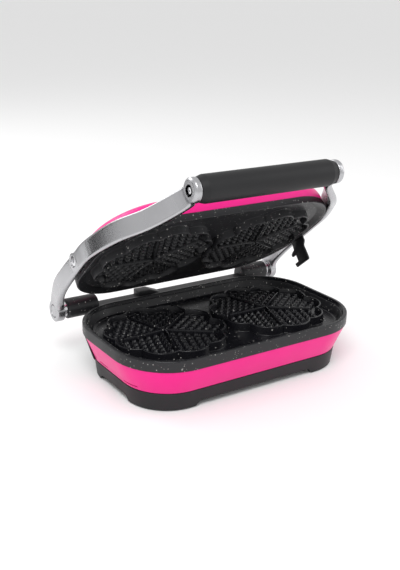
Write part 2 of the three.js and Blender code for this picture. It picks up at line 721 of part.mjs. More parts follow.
/** A bar of soft-cornered section swept through the stations, its tall side kept upright. */
function armBar() {
  const path = new THREE.CatmullRomCurve3(ARM_STATIONS.map(({ x, y, z }) => new THREE.Vector3(x, y, z)));
  const sizes = new THREE.CatmullRomCurve3(
    ARM_STATIONS.map(({ tall, thick }) => new THREE.Vector3(tall, thick, 0)),
  );
  const corner = 0.36; // of the thickness
  const section = new THREE.Shape();
  const quarter = Math.PI / 2;
  [[1, -1], [1, 1], [-1, 1], [-1, -1]].forEach(([x, y], turn) => {
    const middle = 0.5 - corner;
    section.absarc(x * middle, y * middle, corner, (turn - 1) * quarter, turn * quarter);
  });
  const steps = 24;
  const options = { depth: 1, steps, bevelEnabled: false, curveSegments: 1 };
  const made = new THREE.ExtrudeGeometry(section, options);
  const up = new THREE.Vector3(0, 0, 1);
  const at = made.getAttribute('position');
  for (let i = 0; i < at.count; i++) {
    const along = THREE.MathUtils.clamp(at.getZ(i), 0, 1);
    const ahead = path.getTangent(along);
    const across = new THREE.Vector3().crossVectors(up, ahead).normalize();
    const tallways = new THREE.Vector3().crossVectors(ahead, across);
    const { x: tall, y: thick } = sizes.getPoint(along);
    // The section is one unit square: its corners keep the radius of the thin way.
    const sideways = at.getX(i) * thick;
    const edge = Math.sign(at.getY(i)) * (tall - thick) / 2;
    const point = path
      .getPoint(along)
      .addScaledVector(across, sideways)
      .addScaledVector(tallways, at.getY(i) * thick + edge);
    at.setXYZ(i, point.x, point.y, point.z);
  }
  return solid(made);
}

const ROD = 4; // radius of the rod through the grip
const CAP = 8.2; // radius of a hinge cap
const CAP_DEEP = 2.4;
const HANDLE_SCREW = 7.5;
const HANDLE_WELL = 9.8; // radius of the recess round the handle screw
const HANDLE_SINK = 3; // and its depth
const PIVOT_HEAD = 6.2;

function arm() {
  const hingeOut = ARM_IN + ARM_HINGE_THICK;
  const armOut = ARM_SIDE + ARM_THICK;
  const bossFrom = GRIP_HALF + GAP;
  const bossTo = bossFrom + BOSS_LONG;
  const hingeEnd = bar(ARM_END, ARM_IN, hingeOut, HINGE.y, HINGE.z, 32);
  const pivotBoss = bar(PIVOT_BOSS, ARM_SIDE, armOut + 0.8, PIVOT.y, PIVOT.z, 24);
  const handleEnd = turned(
    [
      [bossFrom, 0.5],
      [bossFrom, BOSS - 0.8],
      [bossFrom + 0.8, BOSS],
      [bossTo - 3, BOSS],
      [bossTo - 1, BOSS - 1],
      [bossTo, BOSS - 3.2],
      [bossTo, 0.5],
    ],
    HANDLE.y,
    HANDLE.z,
    28,
  );
  const whole = union(armBar(), hingeEnd, pivotBoss, handleEnd, bar(1, bossFrom, bossTo, HANDLE.y, HANDLE.z));
  return cut(
    whole,
    bar(PIN + RUNNING, 0, WIDTH, HINGE.y, HINGE.z),
    bar(CAP + GAP, hingeOut - CAP_DEEP, WIDTH, HINGE.y, HINGE.z, 24),
    bar(PIVOT_SHANK + GAP, ARM_SIDE - 5, WIDTH, PIVOT.y, PIVOT.z),
    bar(PIVOT_HEAD + GAP, armOut - 3, WIDTH, PIVOT.y, PIVOT.z, 20),
    bar(ROD + GAP, 0, WIDTH, HANDLE.y, HANDLE.z, 20),
    bar(GRIP + 1, 0, bossFrom, HANDLE.y, HANDLE.z, 40), // room for the end of the grip
    bar(HANDLE_WELL, bossTo - HANDLE_SINK, WIDTH, HANDLE.y, HANDLE.z, 24),
  );
}

function handleGrip() {
  const chamfer = 9;
  const bore = ROD + GAP;
  return turned(
    [
      [-GRIP_HALF, bore],
      [-GRIP_HALF, GRIP - 3],
      [-GRIP_HALF + 1, GRIP - 2.2],
      [-GRIP_HALF + chamfer, GRIP],
      [GRIP_HALF - chamfer, GRIP],
      [GRIP_HALF - 1, GRIP - 2.2],
      [GRIP_HALF, GRIP - 3],
      [GRIP_HALF, bore],
    ],
    HANDLE.y,
    HANDLE.z,
    40,
  );
}

function handleScrew() {
  const seat = GRIP_HALF + GAP + BOSS_LONG - HANDLE_SINK;
  const head = bar(HANDLE_SCREW, seat + GAP, seat + 2.6, HANDLE.y, HANDLE.z, 24);
  const hex = bar(3.2, seat + 1.2, seat + 4, HANDLE.y, HANDLE.z, 6);
  return head.subtract(hex);
}

function pivotScrew() {
  const seat = ARM_SIDE + ARM_THICK - 3;
  const head = bar(PIVOT_HEAD, seat + GAP, seat + 3.2, PIVOT.y, PIVOT.z, 28);
  const shank = bar(PIVOT_SHANK, CHASSIS_X - 6, seat + 1, PIVOT.y, PIVOT.z, 20);
  return cut(union(head, shank), bar(2.6, seat + 1.8, seat + 5, PIVOT.y, PIVOT.z, 6));
}

function hingeSpacer() {
  const face = ARM_IN - GAP;
  return turned(
    [
      [BARREL_TO + GAP, PIN + RUNNING],
      [BARREL_TO + GAP, 10.4],
      [face - 1, 10.4],
      [face, 9.6],
      [face, PIN + RUNNING],
    ],
    HINGE.y,
    HINGE.z,
    28,
  );
}

function hingeCap() {
  const seat = ARM_IN + ARM_HINGE_THICK - CAP_DEEP;
  return union(
    bar(CAP, seat + GAP, seat + CAP_DEEP - 0.4, HINGE.y, HINGE.z, 24),
    bar(CAP - 1.6, seat + GAP, seat + CAP_DEEP, HINGE.y, HINGE.z, 24),
  );
}

// ---------------------------------------------------------------- latch

/** The latch from the side, from its pivot: a plate with a thumb rest ahead and two teeth behind. */
function latchProfile() {
  const top = 5;
  const back = 11.5;
  const front = -11.5;
  const foot = -38.5;
  const tooth = 9;
  const notchTop = NOTCH.z + 5.2;
  const notchFoot = NOTCH.z - 5.2;
  return polygon([
    [front, foot + 3],
    [front + 3, foot],
    [back + tooth - 2, foot + 1.5],
    [back + tooth, foot + 3.5],
    [back + tooth, notchFoot],
    [back, notchFoot],
    [back, notchTop],
    [back + tooth, notchTop],
    [back + tooth, notchTop + 4],
    [back + 3, notchTop + 7],
    [back, notchTop + 7],
    [back - 3, top - 2],
    [back - 5, top],
    [front - 1, top],
    [front - 5.5, top - 5],
    [front - 5.5, top - 17],
    [front - 1, top - 20.5],
    [front, top - 23],
  ]);
}

const LATCH_PIN = 2.2;
const LATCH_PIN_FROM = LID.width / 2 - 7;

function latch() {
  const plate = slab(latchProfile(), 0, LATCH_THICK);
  const hole = bar(LATCH_PIN + RUNNING, -5, 10, 0, 0, 20);
  return plate.subtract(hole).translate([LATCH.x, LATCH.y, LATCH.z]);
}

function latchPin() {
  return bar(LATCH_PIN, LATCH_PIN_FROM + GAP, LATCH.x + LATCH_THICK - 0.2, LATCH.y, LATCH.z, 20);
}

// ---------------------------------------------------------------- assembly

const machine = new THREE.Group();
machine.position.y = -CENTRE_Y;
const base = new THREE.Group();
machine.add(base);
const arms = hinged(machine, HINGE, -OPEN);
const lid = hinged(arms, PIVOT, 0);
const latchGroup = hinged(lid, LATCH, 0);

addPart(base, 'base_shell', baseShell(), FINISH.black);
addPart(base, 'body_band', bodyBand(), FINISH.pink);
addPart(base, 'rear_housing', rearHousing(), FINISH.black);
addPart(base, 'cord_gland', cordGland(), FINISH.rubber);
addPart(base, 'lower_plate', lowerPlate(), FINISH.coated);

const CORNERS = ['front_left', 'rear_left', 'front_right', 'rear_right'];
SCREW_SPOTS.forEach((spot, i) => {
  const [x, y] = screwAt(spot);
  const [padX, padY] = footAt(spot);
  const screw = union(
    post(SCREW.head, x, y, FOOT_HEIGHT + 0.6, SCREW.seat - GAP),
    post(SCREW.shank, x, y, FOOT_HEIGHT + 1, SHELL_TOP + 3, 10),
  );
  addPart(base, `base_screw_${CORNERS[i]}`, screw, FINISH.steel);
  const pad = post(FOOT_PAD, padX, padY, 0, SHELL_BOTTOM + 2.2 - GAP);
  addPart(base, `foot_pad_${CORNERS[i]}`, pad, FINISH.rubber);
});

const catchTo = LATCH.x + LATCH_THICK + 1.5;
const catchStud = bar(CATCH, CATCH_FROM, catchTo, CATCH_AT.y, CATCH_AT.z, 20);
addPart(base, 'catch_stud', catchStud, FINISH.steel);

for (const { name, sign } of SIDES) {
  addPart(base, `hinge_barrel_${name}`, onSide(hingeBarrel(), sign), FINISH.coated);
  addPart(base, `hinge_pin_${name}`, onSide(hingePin(), sign), FINISH.steel);
  addPart(arms, `arm_${name}`, onSide(arm(), sign), FINISH.alloy);
  addPart(arms, `hinge_spacer_${name}`, onSide(hingeSpacer(), sign), FINISH.steel);
  addPart(arms, `hinge_cap_${name}`, onSide(hingeCap(), sign), FINISH.alloy);
  addPart(arms, `handle_screw_${name}`, onSide(handleScrew(), sign), FINISH.steel);
  addPart(arms, `pivot_screw_${name}`, onSide(pivotScrew(), sign), FINISH.steel);
  addPart(lid, `pivot_bush_${name}`, onSide(pivotBush(), sign), FINISH.black);
}
addPart(arms, 'handle_grip', handleGrip(), FINISH.grip);
const rodHalf = GRIP_HALF + GAP + BOSS_LONG - HANDLE_SINK;
addPart(arms, 'handle_rod', bar(ROD, -rodHalf, rodHalf, HANDLE.y, HANDLE.z, 20), FINISH.steel);

const plateWithPinHole = upperPlate().subtract(
  bar(LATCH_PIN + GAP, LATCH_PIN_FROM, WIDTH, LATCH.y, LATCH.z, 20),
);
addPart(lid, 'upper_plate', plateWithPinHole, FINISH.coated);
addPart(lid, 'lid_chassis', lidChassis(), FINISH.black);
addPart(lid, 'lid_cover', lidCover(), FINISH.pink);
for (const { name, x } of LAMPS) addPart(lid, name, lamp(x), FINISH.lens);
addPart(lid, 'latch_pin', latchPin(), FINISH.steel);
addPart(latchGroup, 'latch', latch(), FINISH.black);
addHeating(base, lid);

export default machine;
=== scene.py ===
"""A two-waffle iron with a floating lid on curved arms: its visible pieces and finishes."""

import json
import logging
import math
from collections.abc import Callable, Iterable, Sequence
from dataclasses import dataclass, field
from enum import Enum

import bmesh
import bpy
from bmesh.types import BMEdge, BMesh, BMFace, BMVert
from bpy.types import Material, Node, NodeSocket, NodeTree, Object
from mathutils import Matrix, Vector


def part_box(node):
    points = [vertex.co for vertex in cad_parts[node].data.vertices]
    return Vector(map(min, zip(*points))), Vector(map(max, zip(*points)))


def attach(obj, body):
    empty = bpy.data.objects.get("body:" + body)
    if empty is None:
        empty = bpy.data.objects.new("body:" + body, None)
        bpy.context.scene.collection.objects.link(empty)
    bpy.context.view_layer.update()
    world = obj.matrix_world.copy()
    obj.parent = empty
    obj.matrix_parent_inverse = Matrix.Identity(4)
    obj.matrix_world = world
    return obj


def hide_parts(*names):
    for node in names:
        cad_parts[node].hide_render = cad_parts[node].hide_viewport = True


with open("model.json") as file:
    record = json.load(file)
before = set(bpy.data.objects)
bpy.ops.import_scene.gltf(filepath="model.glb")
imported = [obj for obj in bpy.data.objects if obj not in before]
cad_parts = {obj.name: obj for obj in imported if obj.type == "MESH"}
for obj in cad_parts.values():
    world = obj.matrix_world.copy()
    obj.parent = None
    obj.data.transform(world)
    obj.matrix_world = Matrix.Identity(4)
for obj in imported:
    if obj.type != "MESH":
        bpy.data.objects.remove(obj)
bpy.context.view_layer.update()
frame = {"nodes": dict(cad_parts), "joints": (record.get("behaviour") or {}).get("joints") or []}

log = logging.getLogger("waffle_iron")

MM = 0.001  # the pieces are drawn in millimetres, from under the middle of the tray, with the lid shut
GAP = 0.35  # between pieces that touch
WIDTH_CORNER_SIDES = 14  # sides of a quarter turn on the large corners
AROUND = 56  # sides of a turned piece

Level = tuple[float, float]
Corner = tuple[float, float, float]


class Axis(Enum):
    """The way a turned piece points: its matrix turns +X there."""

    X = Matrix.Identity(4)
    Y = Matrix.Rotation(math.radians(90), 4, "Z")
    Z = Matrix.Rotation(math.radians(-90), 4, "Y")


# ---------------------------------------------------------------- where things are


@dataclass(frozen=True)
class Layout:
    """The machine's main places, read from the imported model.

    Everything is in millimetres from under the middle of the tray, with the lid shut.
    """

    rim_width: float
    rim_depth: float
    rim_top: float
    hinge: Vector
    pivot: Vector
    handle: Vector
    latch: Vector
    base: Matrix
    lid: Matrix

    @classmethod
    def from_frame(cls) -> "Layout":
        """Reads the layout.

        Returns:
            Layout: the places, and the matrices that put the base and the open lid into the frame.
        """
        low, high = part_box("lower_plate")
        middle = (low + high) / 2
        base = Matrix.Translation((middle.x, middle.y, 0)) @ Matrix.Scale(MM, 4)
        joints = {joint["name"]: joint for joint in frame["joints"]}
        hinge = base.inverted() @ Vector(joints["arm_hinge"]["pos_m"])
        shut_angle = math.radians(joints["arm_hinge"]["range_deg"][1])
        about = Matrix.Translation(hinge)
        lid = base @ about @ Matrix.Rotation(-shut_angle, 4, "X") @ about.inverted()
        rod_low, rod_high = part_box("handle_rod")
        shut = lid.inverted()
        return cls(
            rim_width=(high.x - low.x) / MM,
            rim_depth=(high.y - low.y) / MM,
            rim_top=high.z / MM,
            hinge=hinge,
            pivot=shut @ Vector(joints["lid_float"]["pos_m"]),
            handle=shut @ ((rod_low + rod_high) / 2),
            latch=shut @ Vector(joints["latch_turn"]["pos_m"]),
            base=base,
            lid=lid,
        )


LAYOUT = Layout.from_frame()


# ---------------------------------------------------------------- shader effects


def new_group(name: str, inputs: dict[str, str], outputs: dict[str, str]) -> tuple[NodeTree, Node, Node]:
    """Starts a shader node group.

    Args:
        name: the group's name.
        inputs: socket names and their types.
        outputs: socket names and their types.

    Returns:
        tuple: the group's tree, its input node and its output node.
    """
    tree = bpy.data.node_groups.new(name, "ShaderNodeTree")
    for side, sockets in (("INPUT", inputs), ("OUTPUT", outputs)):
        for socket, kind in sockets.items():
            tree.interface.new_socket(name=socket, in_out=side, socket_type=f"NodeSocket{kind}")
    return tree, tree.nodes.new("NodeGroupInput"), tree.nodes.new("NodeGroupOutput")


def add(tree: NodeTree, kind: str, links: dict[str, NodeSocket] | None = None, **settings: object) -> Node:
    """Adds a node.

    Args:
        tree: the tree it goes into.
        kind: the node's type without its ShaderNode prefix.
        links: the sockets that feed its inputs, by input name or number.
        settings: its properties, or the values of inputs that have that name.

    Returns:
        Node: the new node.
    """
    node = tree.nodes.new(f"ShaderNode{kind}")
    for name, value in settings.items():
        if hasattr(node, name):
            setattr(node, name, value)
        else:
            node.inputs[name.replace("_", " ")].default_value = value
    for name, source in (links or {}).items():
        tree.links.new(source, node.inputs[name])
    return node


def grain_group() -> NodeTree:
    """The fine texture of a moulded, blasted or coated surface, as a height."""
    tree, start, end = new_group("grain", {"Vector": "Vector", "Scale": "Float"}, {"Height": "Float"})
    links = {"Vector": start.outputs["Vector"], "Scale": start.outputs["Scale"]}
    noise = add(tree, "TexNoise", links, Detail=3.0, Roughness=0.6)
    tree.links.new(noise.outputs["Fac"], end.inputs["Height"])
    return tree


def patches_group() -> NodeTree:
    """A slow change between two values over the surface, as handling and casting leave it."""
    inputs = {"Vector": "Vector", "Scale": "Float", "Low": "Float", "High": "Float"}
    tree, start, end = new_group("patches", inputs, {"Value": "Float"})
    links = {"Vector": start.outputs["Vector"], "Scale": start.outputs["Scale"]}
    noise = add(tree, "TexNoise", links, Detail=2.0, Roughness=0.5)
    spread = {
        "Value": noise.outputs["Fac"],
        "To Min": start.outputs["Low"],
        "To Max": start.outputs["High"],
    }
    ranged = add(tree, "MapRange", spread)
    ranged.inputs["From Min"].default_value = 0.3
    ranged.inputs["From Max"].default_value = 0.7
    tree.links.new(ranged.outputs["Result"], end.inputs["Value"])
    return tree


def speckle_group() -> NodeTree:
    """Scattered light flecks of a nonstick coating, as a mask from 0 to 1."""
    inputs = {"Vector": "Vector", "Scale": "Float", "Size": "Float", "Share": "Float"}
    tree, start, end = new_group("speckle", inputs, {"Mask": "Float"})
    links = {"Vector": start.outputs["Vector"], "Scale": start.outputs["Scale"]}
    cells = add(tree, "TexVoronoi", links, feature="F1")
    chance = add(tree, "SeparateColor", {"Color": cells.outputs["Color"]})
    sized = {0: start.outputs["Size"], 1: chance.outputs["Green"]}
    size = add(tree, "Math", sized, operation="MULTIPLY")
    near = {0: cells.outputs["Distance"], 1: size.outputs[0]}
    dot = add(tree, "Math", near, operation="LESS_THAN")
    picked = {0: chance.outputs["Red"], 1: start.outputs["Share"]}
    kept = add(tree, "Math", picked, operation="LESS_THAN")
    both = add(tree, "Math", {0: dot.outputs[0], 1: kept.outputs[0]}, operation="MULTIPLY")
    bright = {0: both.outputs[0], 1: chance.outputs["Blue"]}
    mask = add(tree, "Math", bright, operation="MULTIPLY")
    tree.links.new(mask.outputs[0], end.inputs["Mask"])
    return tree


def turning_group() -> NodeTree:
    """The fine rings that a lathe tool leaves round the X axis, as a height."""
    tree, start, end = new_group("turning", {"Vector": "Vector", "Scale": "Float"}, {"Height": "Float"})
    links = {"Vector": start.outputs["Vector"], "Scale": start.outputs["Scale"]}
    rings = add(tree, "TexWave", links, wave_type="BANDS", bands_direction="X", Distortion=0.4)
    tree.links.new(rings.outputs["Fac"], end.inputs["Height"])
    return tree


class Effect(Enum):
    """The effects that several finishes share, each a node group built once."""

    GRAIN = grain_group()
    PATCHES = patches_group()
    SPECKLE = speckle_group()
    TURNING = turning_group()


# ---------------------------------------------------------------- finishes


@dataclass(frozen=True)
class Finish:
    """One surface finish. Colours are linear; grain sizes are features per metre; depths are in metres."""

    colour: tuple[float, float, float]
    rough: tuple[float, float]
    metallic: float = 0.0
    tint: float = 0.12
    patch_scale: float = 28.0
    grain_scale: float = 900.0
    grain_depth: float = 0.0
    fleck_share: float = 0.0
    fleck_scale: float = 420.0
    fleck_size: float = 0.42
    fleck_colour: tuple[float, float, float] = (0.42, 0.41, 0.39)
    turned: bool = False
    turning_scale: float = 900.0
    coat: float = 0.0
    coat_rough: float = 0.05
    ior: float = 1.5
    transmission: float = 0.0

    def material(self, name: str) -> Material:
        """Builds the finish as a material.

        Args:
            name: the material's name.

        Returns:
            Material: a Principled surface fed by the shared effects.
        """
        made = bpy.data.materials.new(name)
        made.use_nodes = True
        tree = made.node_tree
        tree.nodes.clear()
        place = add(tree, "TexCoord").outputs["Object"]
        surface = add(tree, "BsdfPrincipled", Metallic=self.metallic, IOR=self.ior)
        surface.inputs["Coat Weight"].default_value = self.coat
        surface.inputs["Coat Roughness"].default_value = self.coat_rough
        surface.inputs["Transmission Weight"].default_value = self.transmission
        low, high = self.rough
        shine = self._effect(tree, Effect.PATCHES, place, Scale=self.patch_scale, Low=low, High=high)
        tree.links.new(shine.outputs["Value"], surface.inputs["Roughness"])
        tree.links.new(self._colour(tree, place), surface.inputs["Base Color"])
        if self.grain_depth > 0:
            tree.links.new(self._relief(tree, place), surface.inputs["Normal"])
        output = tree.nodes.new("ShaderNodeOutputMaterial")
        tree.links.new(surface.outputs["BSDF"], output.inputs["Surface"])
        return made

    @staticmethod
    def _effect(tree: NodeTree, effect: Effect, place: NodeSocket, **values: float) -> Node:
        """Places a shared effect in a material.

        Args:
            tree: the material's tree.
            effect: which effect.
            place: the coordinates it reads.
            values: its other inputs.

        Returns:
            Node: the group node.
        """
        node = tree.nodes.new("ShaderNodeGroup")
        node.node_tree = effect.value
        tree.links.new(place, node.inputs["Vector"])
        for name, value in values.items():
            node.inputs[name].default_value = value
        return node

    def _colour(self, tree: NodeTree, place: NodeSocket) -> NodeSocket:
        """The base colour with its slow variation and its flecks.

        Args:
            tree: the material's tree.
            place: the coordinates.

        Returns:
            NodeSocket: the colour.
        """
        drift = self._effect(tree, Effect.PATCHES, place, Scale=self.patch_scale * 0.7, Low=0.0, High=1.0)
        darker = tuple(c * (1 - self.tint) for c in self.colour)
        lighter = tuple(min(1.0, c * (1 + self.tint)) for c in self.colour)
        blended = self._mix(tree, drift.outputs["Value"], darker, lighter)
        if self.fleck_share <= 0:
            return blended.outputs[2]
        flecks = self._effect(
            tree,
            Effect.SPECKLE,
            place,
            Scale=self.fleck_scale,
            Size=self.fleck_size,
            Share=self.fleck_share,
        )
        speckled = self._mix(tree, flecks.outputs["Mask"], darker, self.fleck_colour)
        tree.links.new(blended.outputs[2], speckled.inputs[6])
        return speckled.outputs[2]

    @staticmethod
    def _mix(tree: NodeTree, share: NodeSocket, first: Sequence[float], second: Sequence[float]) -> Node:
        """A colour mix.

        Args:
            tree: the material's tree.
            share: the mask.
            first: the colour where the mask is 0.
            second: the colour where it is 1.

        Returns:
            Node: the mix node, whose colours are inputs 6 and 7 and output 2.
        """
        node = tree.nodes.new("ShaderNodeMix")
        node.data_type = "RGBA"
        node.inputs[6].default_value = (*first, 1)
        node.inputs[7].default_value = (*second, 1)
        tree.links.new(share, node.inputs[0])
        return node

    def _relief(self, tree: NodeTree, place: NodeSocket) -> NodeSocket:
        """The surface's fine relief as a normal.

        Args:
            tree: the material's tree.
            place: the coordinates.

        Returns:
            NodeSocket: the bumped normal.
        """
        effect = Effect.TURNING if self.turned else Effect.GRAIN
        scale = self.turning_scale if self.turned else self.grain_scale
        height = self._effect(tree, effect, place, Scale=scale).outputs["Height"]
        bump = add(tree, "Bump", {"Height": height}, Strength=1.0, Distance=self.grain_depth)
        return bump.outputs["Normal"]


class Look(Enum):
    """The finishes on the machine."""

    PINK = Finish(
        (0.83, 0.004, 0.235), (0.28, 0.34), tint=0.03, grain_scale=260.0, grain_depth=0.00002, ior=1.4
    )
    BLACK = Finish((0.012, 0.012, 0.0135), (0.42, 0.52), grain_scale=1500.0, grain_depth=0.00006, ior=1.4)
    SATIN_COAT = Finish(
        (0.016, 0.016, 0.018),
        (0.36, 0.48),
        grain_scale=1100.0,
        grain_depth=0.00008,
        fleck_share=0.32,
        ior=1.4,
    )
    GLOSS_COAT = Finish(
        (0.007, 0.007, 0.009),
        (0.2, 0.3),
        grain_scale=700.0,
        grain_depth=0.00005,
        fleck_share=0.16,
        ior=1.4,
    )
    ALLOY = Finish(
        (0.46, 0.46, 0.475), (0.24, 0.3), metallic=1.0, tint=0.04, grain_scale=1800.0, grain_depth=0.00004
    )
    STEEL = Finish(
        (0.72, 0.72, 0.74), (0.14, 0.22), metallic=1.0, tint=0.05, grain_depth=0.00002, turned=True
    )
    SHEET = Finish((0.6, 0.6, 0.61), (0.3, 0.42), metallic=1.0, grain_scale=400.0, grain_depth=0.00003)
    GRIP = Finish((0.010, 0.010, 0.011), (0.46, 0.54), grain_scale=1200.0, grain_depth=0.00005, ior=1.38)
    # painted shade: near-black with a blue cast, put on bright steel that sits at the bottom of the
    # handle-end well
    RECESS = Finish((0.008, 0.009, 0.013), (0.2, 0.3), grain_depth=0.00002)
    RUBBER = Finish((0.012, 0.012, 0.012), (0.7, 0.82), grain_scale=800.0, grain_depth=0.0001)
    CERAMIC = Finish((0.66, 0.61, 0.52), (0.5, 0.65), grain_scale=700.0, grain_depth=0.00008)
    LENS = Finish((0.62, 0.02, 0.012), (0.05, 0.09), tint=0.2, transmission=0.35, coat=0.5)


MATERIALS = {look: look.value.material(look.name.lower()) for look in Look}


# ---------------------------------------------------------------- ways of making pieces


def softened(corners: Sequence[Corner], closed: bool = False, steps: int = 6) -> list[Level]:
    """Rounds the corners of a line.

    Args:
        corners: each is its two coordinates and the radius it is rounded to.
        closed: whether the last corner joins the first.
        steps: sides of each round.

    Returns:
        list: the points of the rounded line.
    """
    count = len(corners)
    line: list[Level] = []
    for i, (across, along, radius) in enumerate(corners):
        here = Vector((across, along))
        if radius <= 0 or (not closed and i in (0, count - 1)):
            line.append((across, along))
            continue
        before = Vector(corners[i - 1][:2]) - here
        after = Vector(corners[(i + 1) % count][:2]) - here
        reach = radius / math.tan(before.angle(after) / 2)
        reach = min(reach, before.length * 0.48, after.length * 0.48)
        first, last = here + before.normalized() * reach, here + after.normalized() * reach
        for step in range(steps + 1):
            t = step / steps
            point = first * (1 - t) ** 2 + here * (2 * t * (1 - t)) + last * t**2
            line.append((point.x, point.y))
    return line


def spline(points: Sequence[Vector], steps: int) -> list[Vector]:
    """A smooth curve through points.

    Args:
        points: what it passes through.
        steps: steps between each two of them.

    Returns:
        list: the points along it, ends included.
    """
    ends = [points[0] * 2 - points[1], *points, points[-1] * 2 - points[-2]]
    curve = []
    for a, b, c, d in zip(ends, ends[1:], ends[2:], ends[3:]):
        for step in range(steps):
            t = step / steps
            bend = (a * -1 + c) * t + (a * 2 - b * 5 + c * 4 - d) * t**2 + (b * 3 - a - c * 3 + d) * t**3
            curve.append(b + bend * 0.5)
    return [*curve, points[-1].copy()]


def added(bm: BMesh, known: set) -> list[BMEdge]:
    """The edges that aren't among those known."""
    return [edge for edge in bm.edges if edge not in known]


def close_holes(bm: BMesh) -> None:
    """Puts a face on every open loop."""
    bmesh.ops.holes_fill(bm, edges=[edge for edge in bm.edges if edge.is_boundary], sides=0)


def outward(bm: BMesh) -> BMesh:
    """Turns every face outwards."""
    bmesh.ops.recalc_face_normals(bm, faces=bm.faces[:])
    return bm


def rounded_face(bm: BMesh, width: float, depth: float, corner: float, sides: int) -> list[BMEdge]:
    """Draws a rounded rectangle about the origin, as a loop with no face.

    Args:
        bm: an empty mesh.
        width: its size along X.
        depth: its size along Y.
        corner: its corner radius.
        sides: sides of each corner.

    Returns:
        list: the loop's edges.
    """
    signs = ((-1, -1), (1, -1), (1, 1), (-1, 1))
    corners = [bm.verts.new((x * width / 2, y * depth / 2, 0)) for x, y in signs]
    bm.faces.new(corners)
    bmesh.ops.bevel(
        bm, geom=corners, offset=corner, segments=sides, profile=0.5, affect="VERTICES", material=-1
    )
    bmesh.ops.delete(bm, geom=bm.faces[:], context="FACES_ONLY")
    return bm.edges[:]


def drawn_out(
    bm: BMesh, loop: list[BMEdge], moves: Iterable[Callable[[Vector], Vector]], closed: bool
) -> BMesh:
    """Draws a loop out into a wall, one ring for each move.

    Args:
        bm: the mesh that holds only the loop.
        loop: the loop's edges.
        moves: each gives a ring's points from the loop's own points.
        closed: whether the last ring joins the first; if not, both ends get a face.

    Returns:
        BMesh: the same mesh, closed, its faces outwards.
    """
    origin = bm.verts.layers.float_vector.new("origin")
    for vert in bm.verts:
        vert[origin] = vert.co
    first: list[BMEdge] = []
    ring, verts = loop, bm.verts[:]
    for i, move in enumerate(moves):
        if i:
            grown = bmesh.ops.extrude_edge_only(bm, edges=ring)["geom"]
            verts = [item for item in grown if isinstance(item, BMVert)]
            fresh = set(verts)
            ring = [e for e in grown if isinstance(e, BMEdge) and e.verts[0] in fresh and e.verts[1] in fresh]
        else:
            first = ring
        for vert in verts:
            vert.co = move(vert[origin])
    if closed:
        bmesh.ops.bridge_loops(bm, edges=first + ring)
    else:
        close_holes(bm)
    return outward(bm)


@dataclass(frozen=True)
class Outline:
    """A rounded rectangle seen from above."""

    width: float
    depth: float
    corner: float
    y: float = 0.0

    def inset(self, point: Vector, inset: float, height: float) -> Vector:
        """A point of the outline, moved inwards and up.

        Args:
            point: the point on the outline.
            inset: how far inwards it goes.
            height: its new height.

        Returns:
            Vector: where it goes.
        """
        half_x, half_y = self.width / 2 - self.corner, self.depth / 2 - self.corner
        core = Vector((max(-half_x, min(half_x, point.x)), max(-half_y, min(half_y, point.y)), 0))
        shrink = max(0.02, (self.corner - inset) / self.corner)
        moved = core + (Vector((point.x, point.y, 0)) - core) * shrink
        return Vector((moved.x, moved.y + self.y, height))

    def loft(self, levels: Sequence[Level], closed: bool = False) -> BMesh:
        """A wall all the way round.

        Args:
            levels: the wall's section, each point its inset from the outline and its height.
            closed: whether the section is a closed line.

        Returns:
            BMesh: the closed solid.
        """
        bm = bmesh.new()
        loop = rounded_face(bm, self.width, self.depth, self.corner, WIDTH_CORNER_SIDES)
        moves = [lambda point, a=inset, b=height: self.inset(point, a, b) for inset, height in levels]
        return drawn_out(bm, loop, moves, closed)


def turned(
    section: Sequence[Level],
    at: Sequence[float],
    axis: Axis = Axis.X,
    closed: bool = False,
    sides: int = AROUND,
) -> BMesh:
    """A turned piece.

    Args:
        section: its points, each the place along the axis and the radius there.
        at: the point that the places are measured from.
        axis: the way it points.
        closed: whether the section joins up, as on a piece with a bore.
        sides: sides of the full turn.

    Returns:
        BMesh: the closed solid.
    """
    bm = bmesh.new()
    line = [bm.verts.new((along, radius, 0)) for along, radius in section]
    pairs = list(zip(line, line[1:])) + ([(line[-1], line[0])] if closed else [])
    edges = [bm.edges.new(pair) for pair in pairs]
    bmesh.ops.spin(
        bm, geom=line + edges, cent=(0, 0, 0), axis=(1, 0, 0), angle=math.tau, steps=sides, use_merge=True
    )
    bmesh.ops.remove_doubles(bm, verts=bm.verts[:], dist=1e-4)
    bmesh.ops.transform(bm, matrix=Matrix.Translation(Vector(at)) @ axis.value, verts=bm.verts[:])
    close_holes(bm)
    return outward(bm)


def disc(radius: float, start: float, end: float, round_off: float = 0.4) -> list[Level]:
    """The section of a plain turned disc or pin with softened ends.

    Args:
        radius: its radius.
        start: where it starts along the axis.
        end: where it ends.
        round_off: the radius of its edges.

    Returns:
        list: the section, from axis to axis.
    """
    corners = [(start, 0, 0), (start, radius, round_off), (end, radius, round_off), (end, 0, 0)]
    return softened(corners, steps=3)


def plate_of(points: Sequence[Level], x0: float, x1: float) -> BMesh:
    """An outline in the YZ plane, given a thickness along X.

    Args:
        points: the outline.
        x0: one face.
        x1: the other face.

    Returns:
        BMesh: the closed solid.
    """
    bm = bmesh.new()
    face = bm.faces.new([bm.verts.new((x0, y, z)) for y, z in points])
    grown = bmesh.ops.extrude_face_region(bm, geom=[face])["geom"]
    verts = [item for item in grown if isinstance(item, BMVert)]
    bmesh.ops.translate(bm, verts=verts, vec=(x1 - x0, 0, 0))
    return outward(bm)


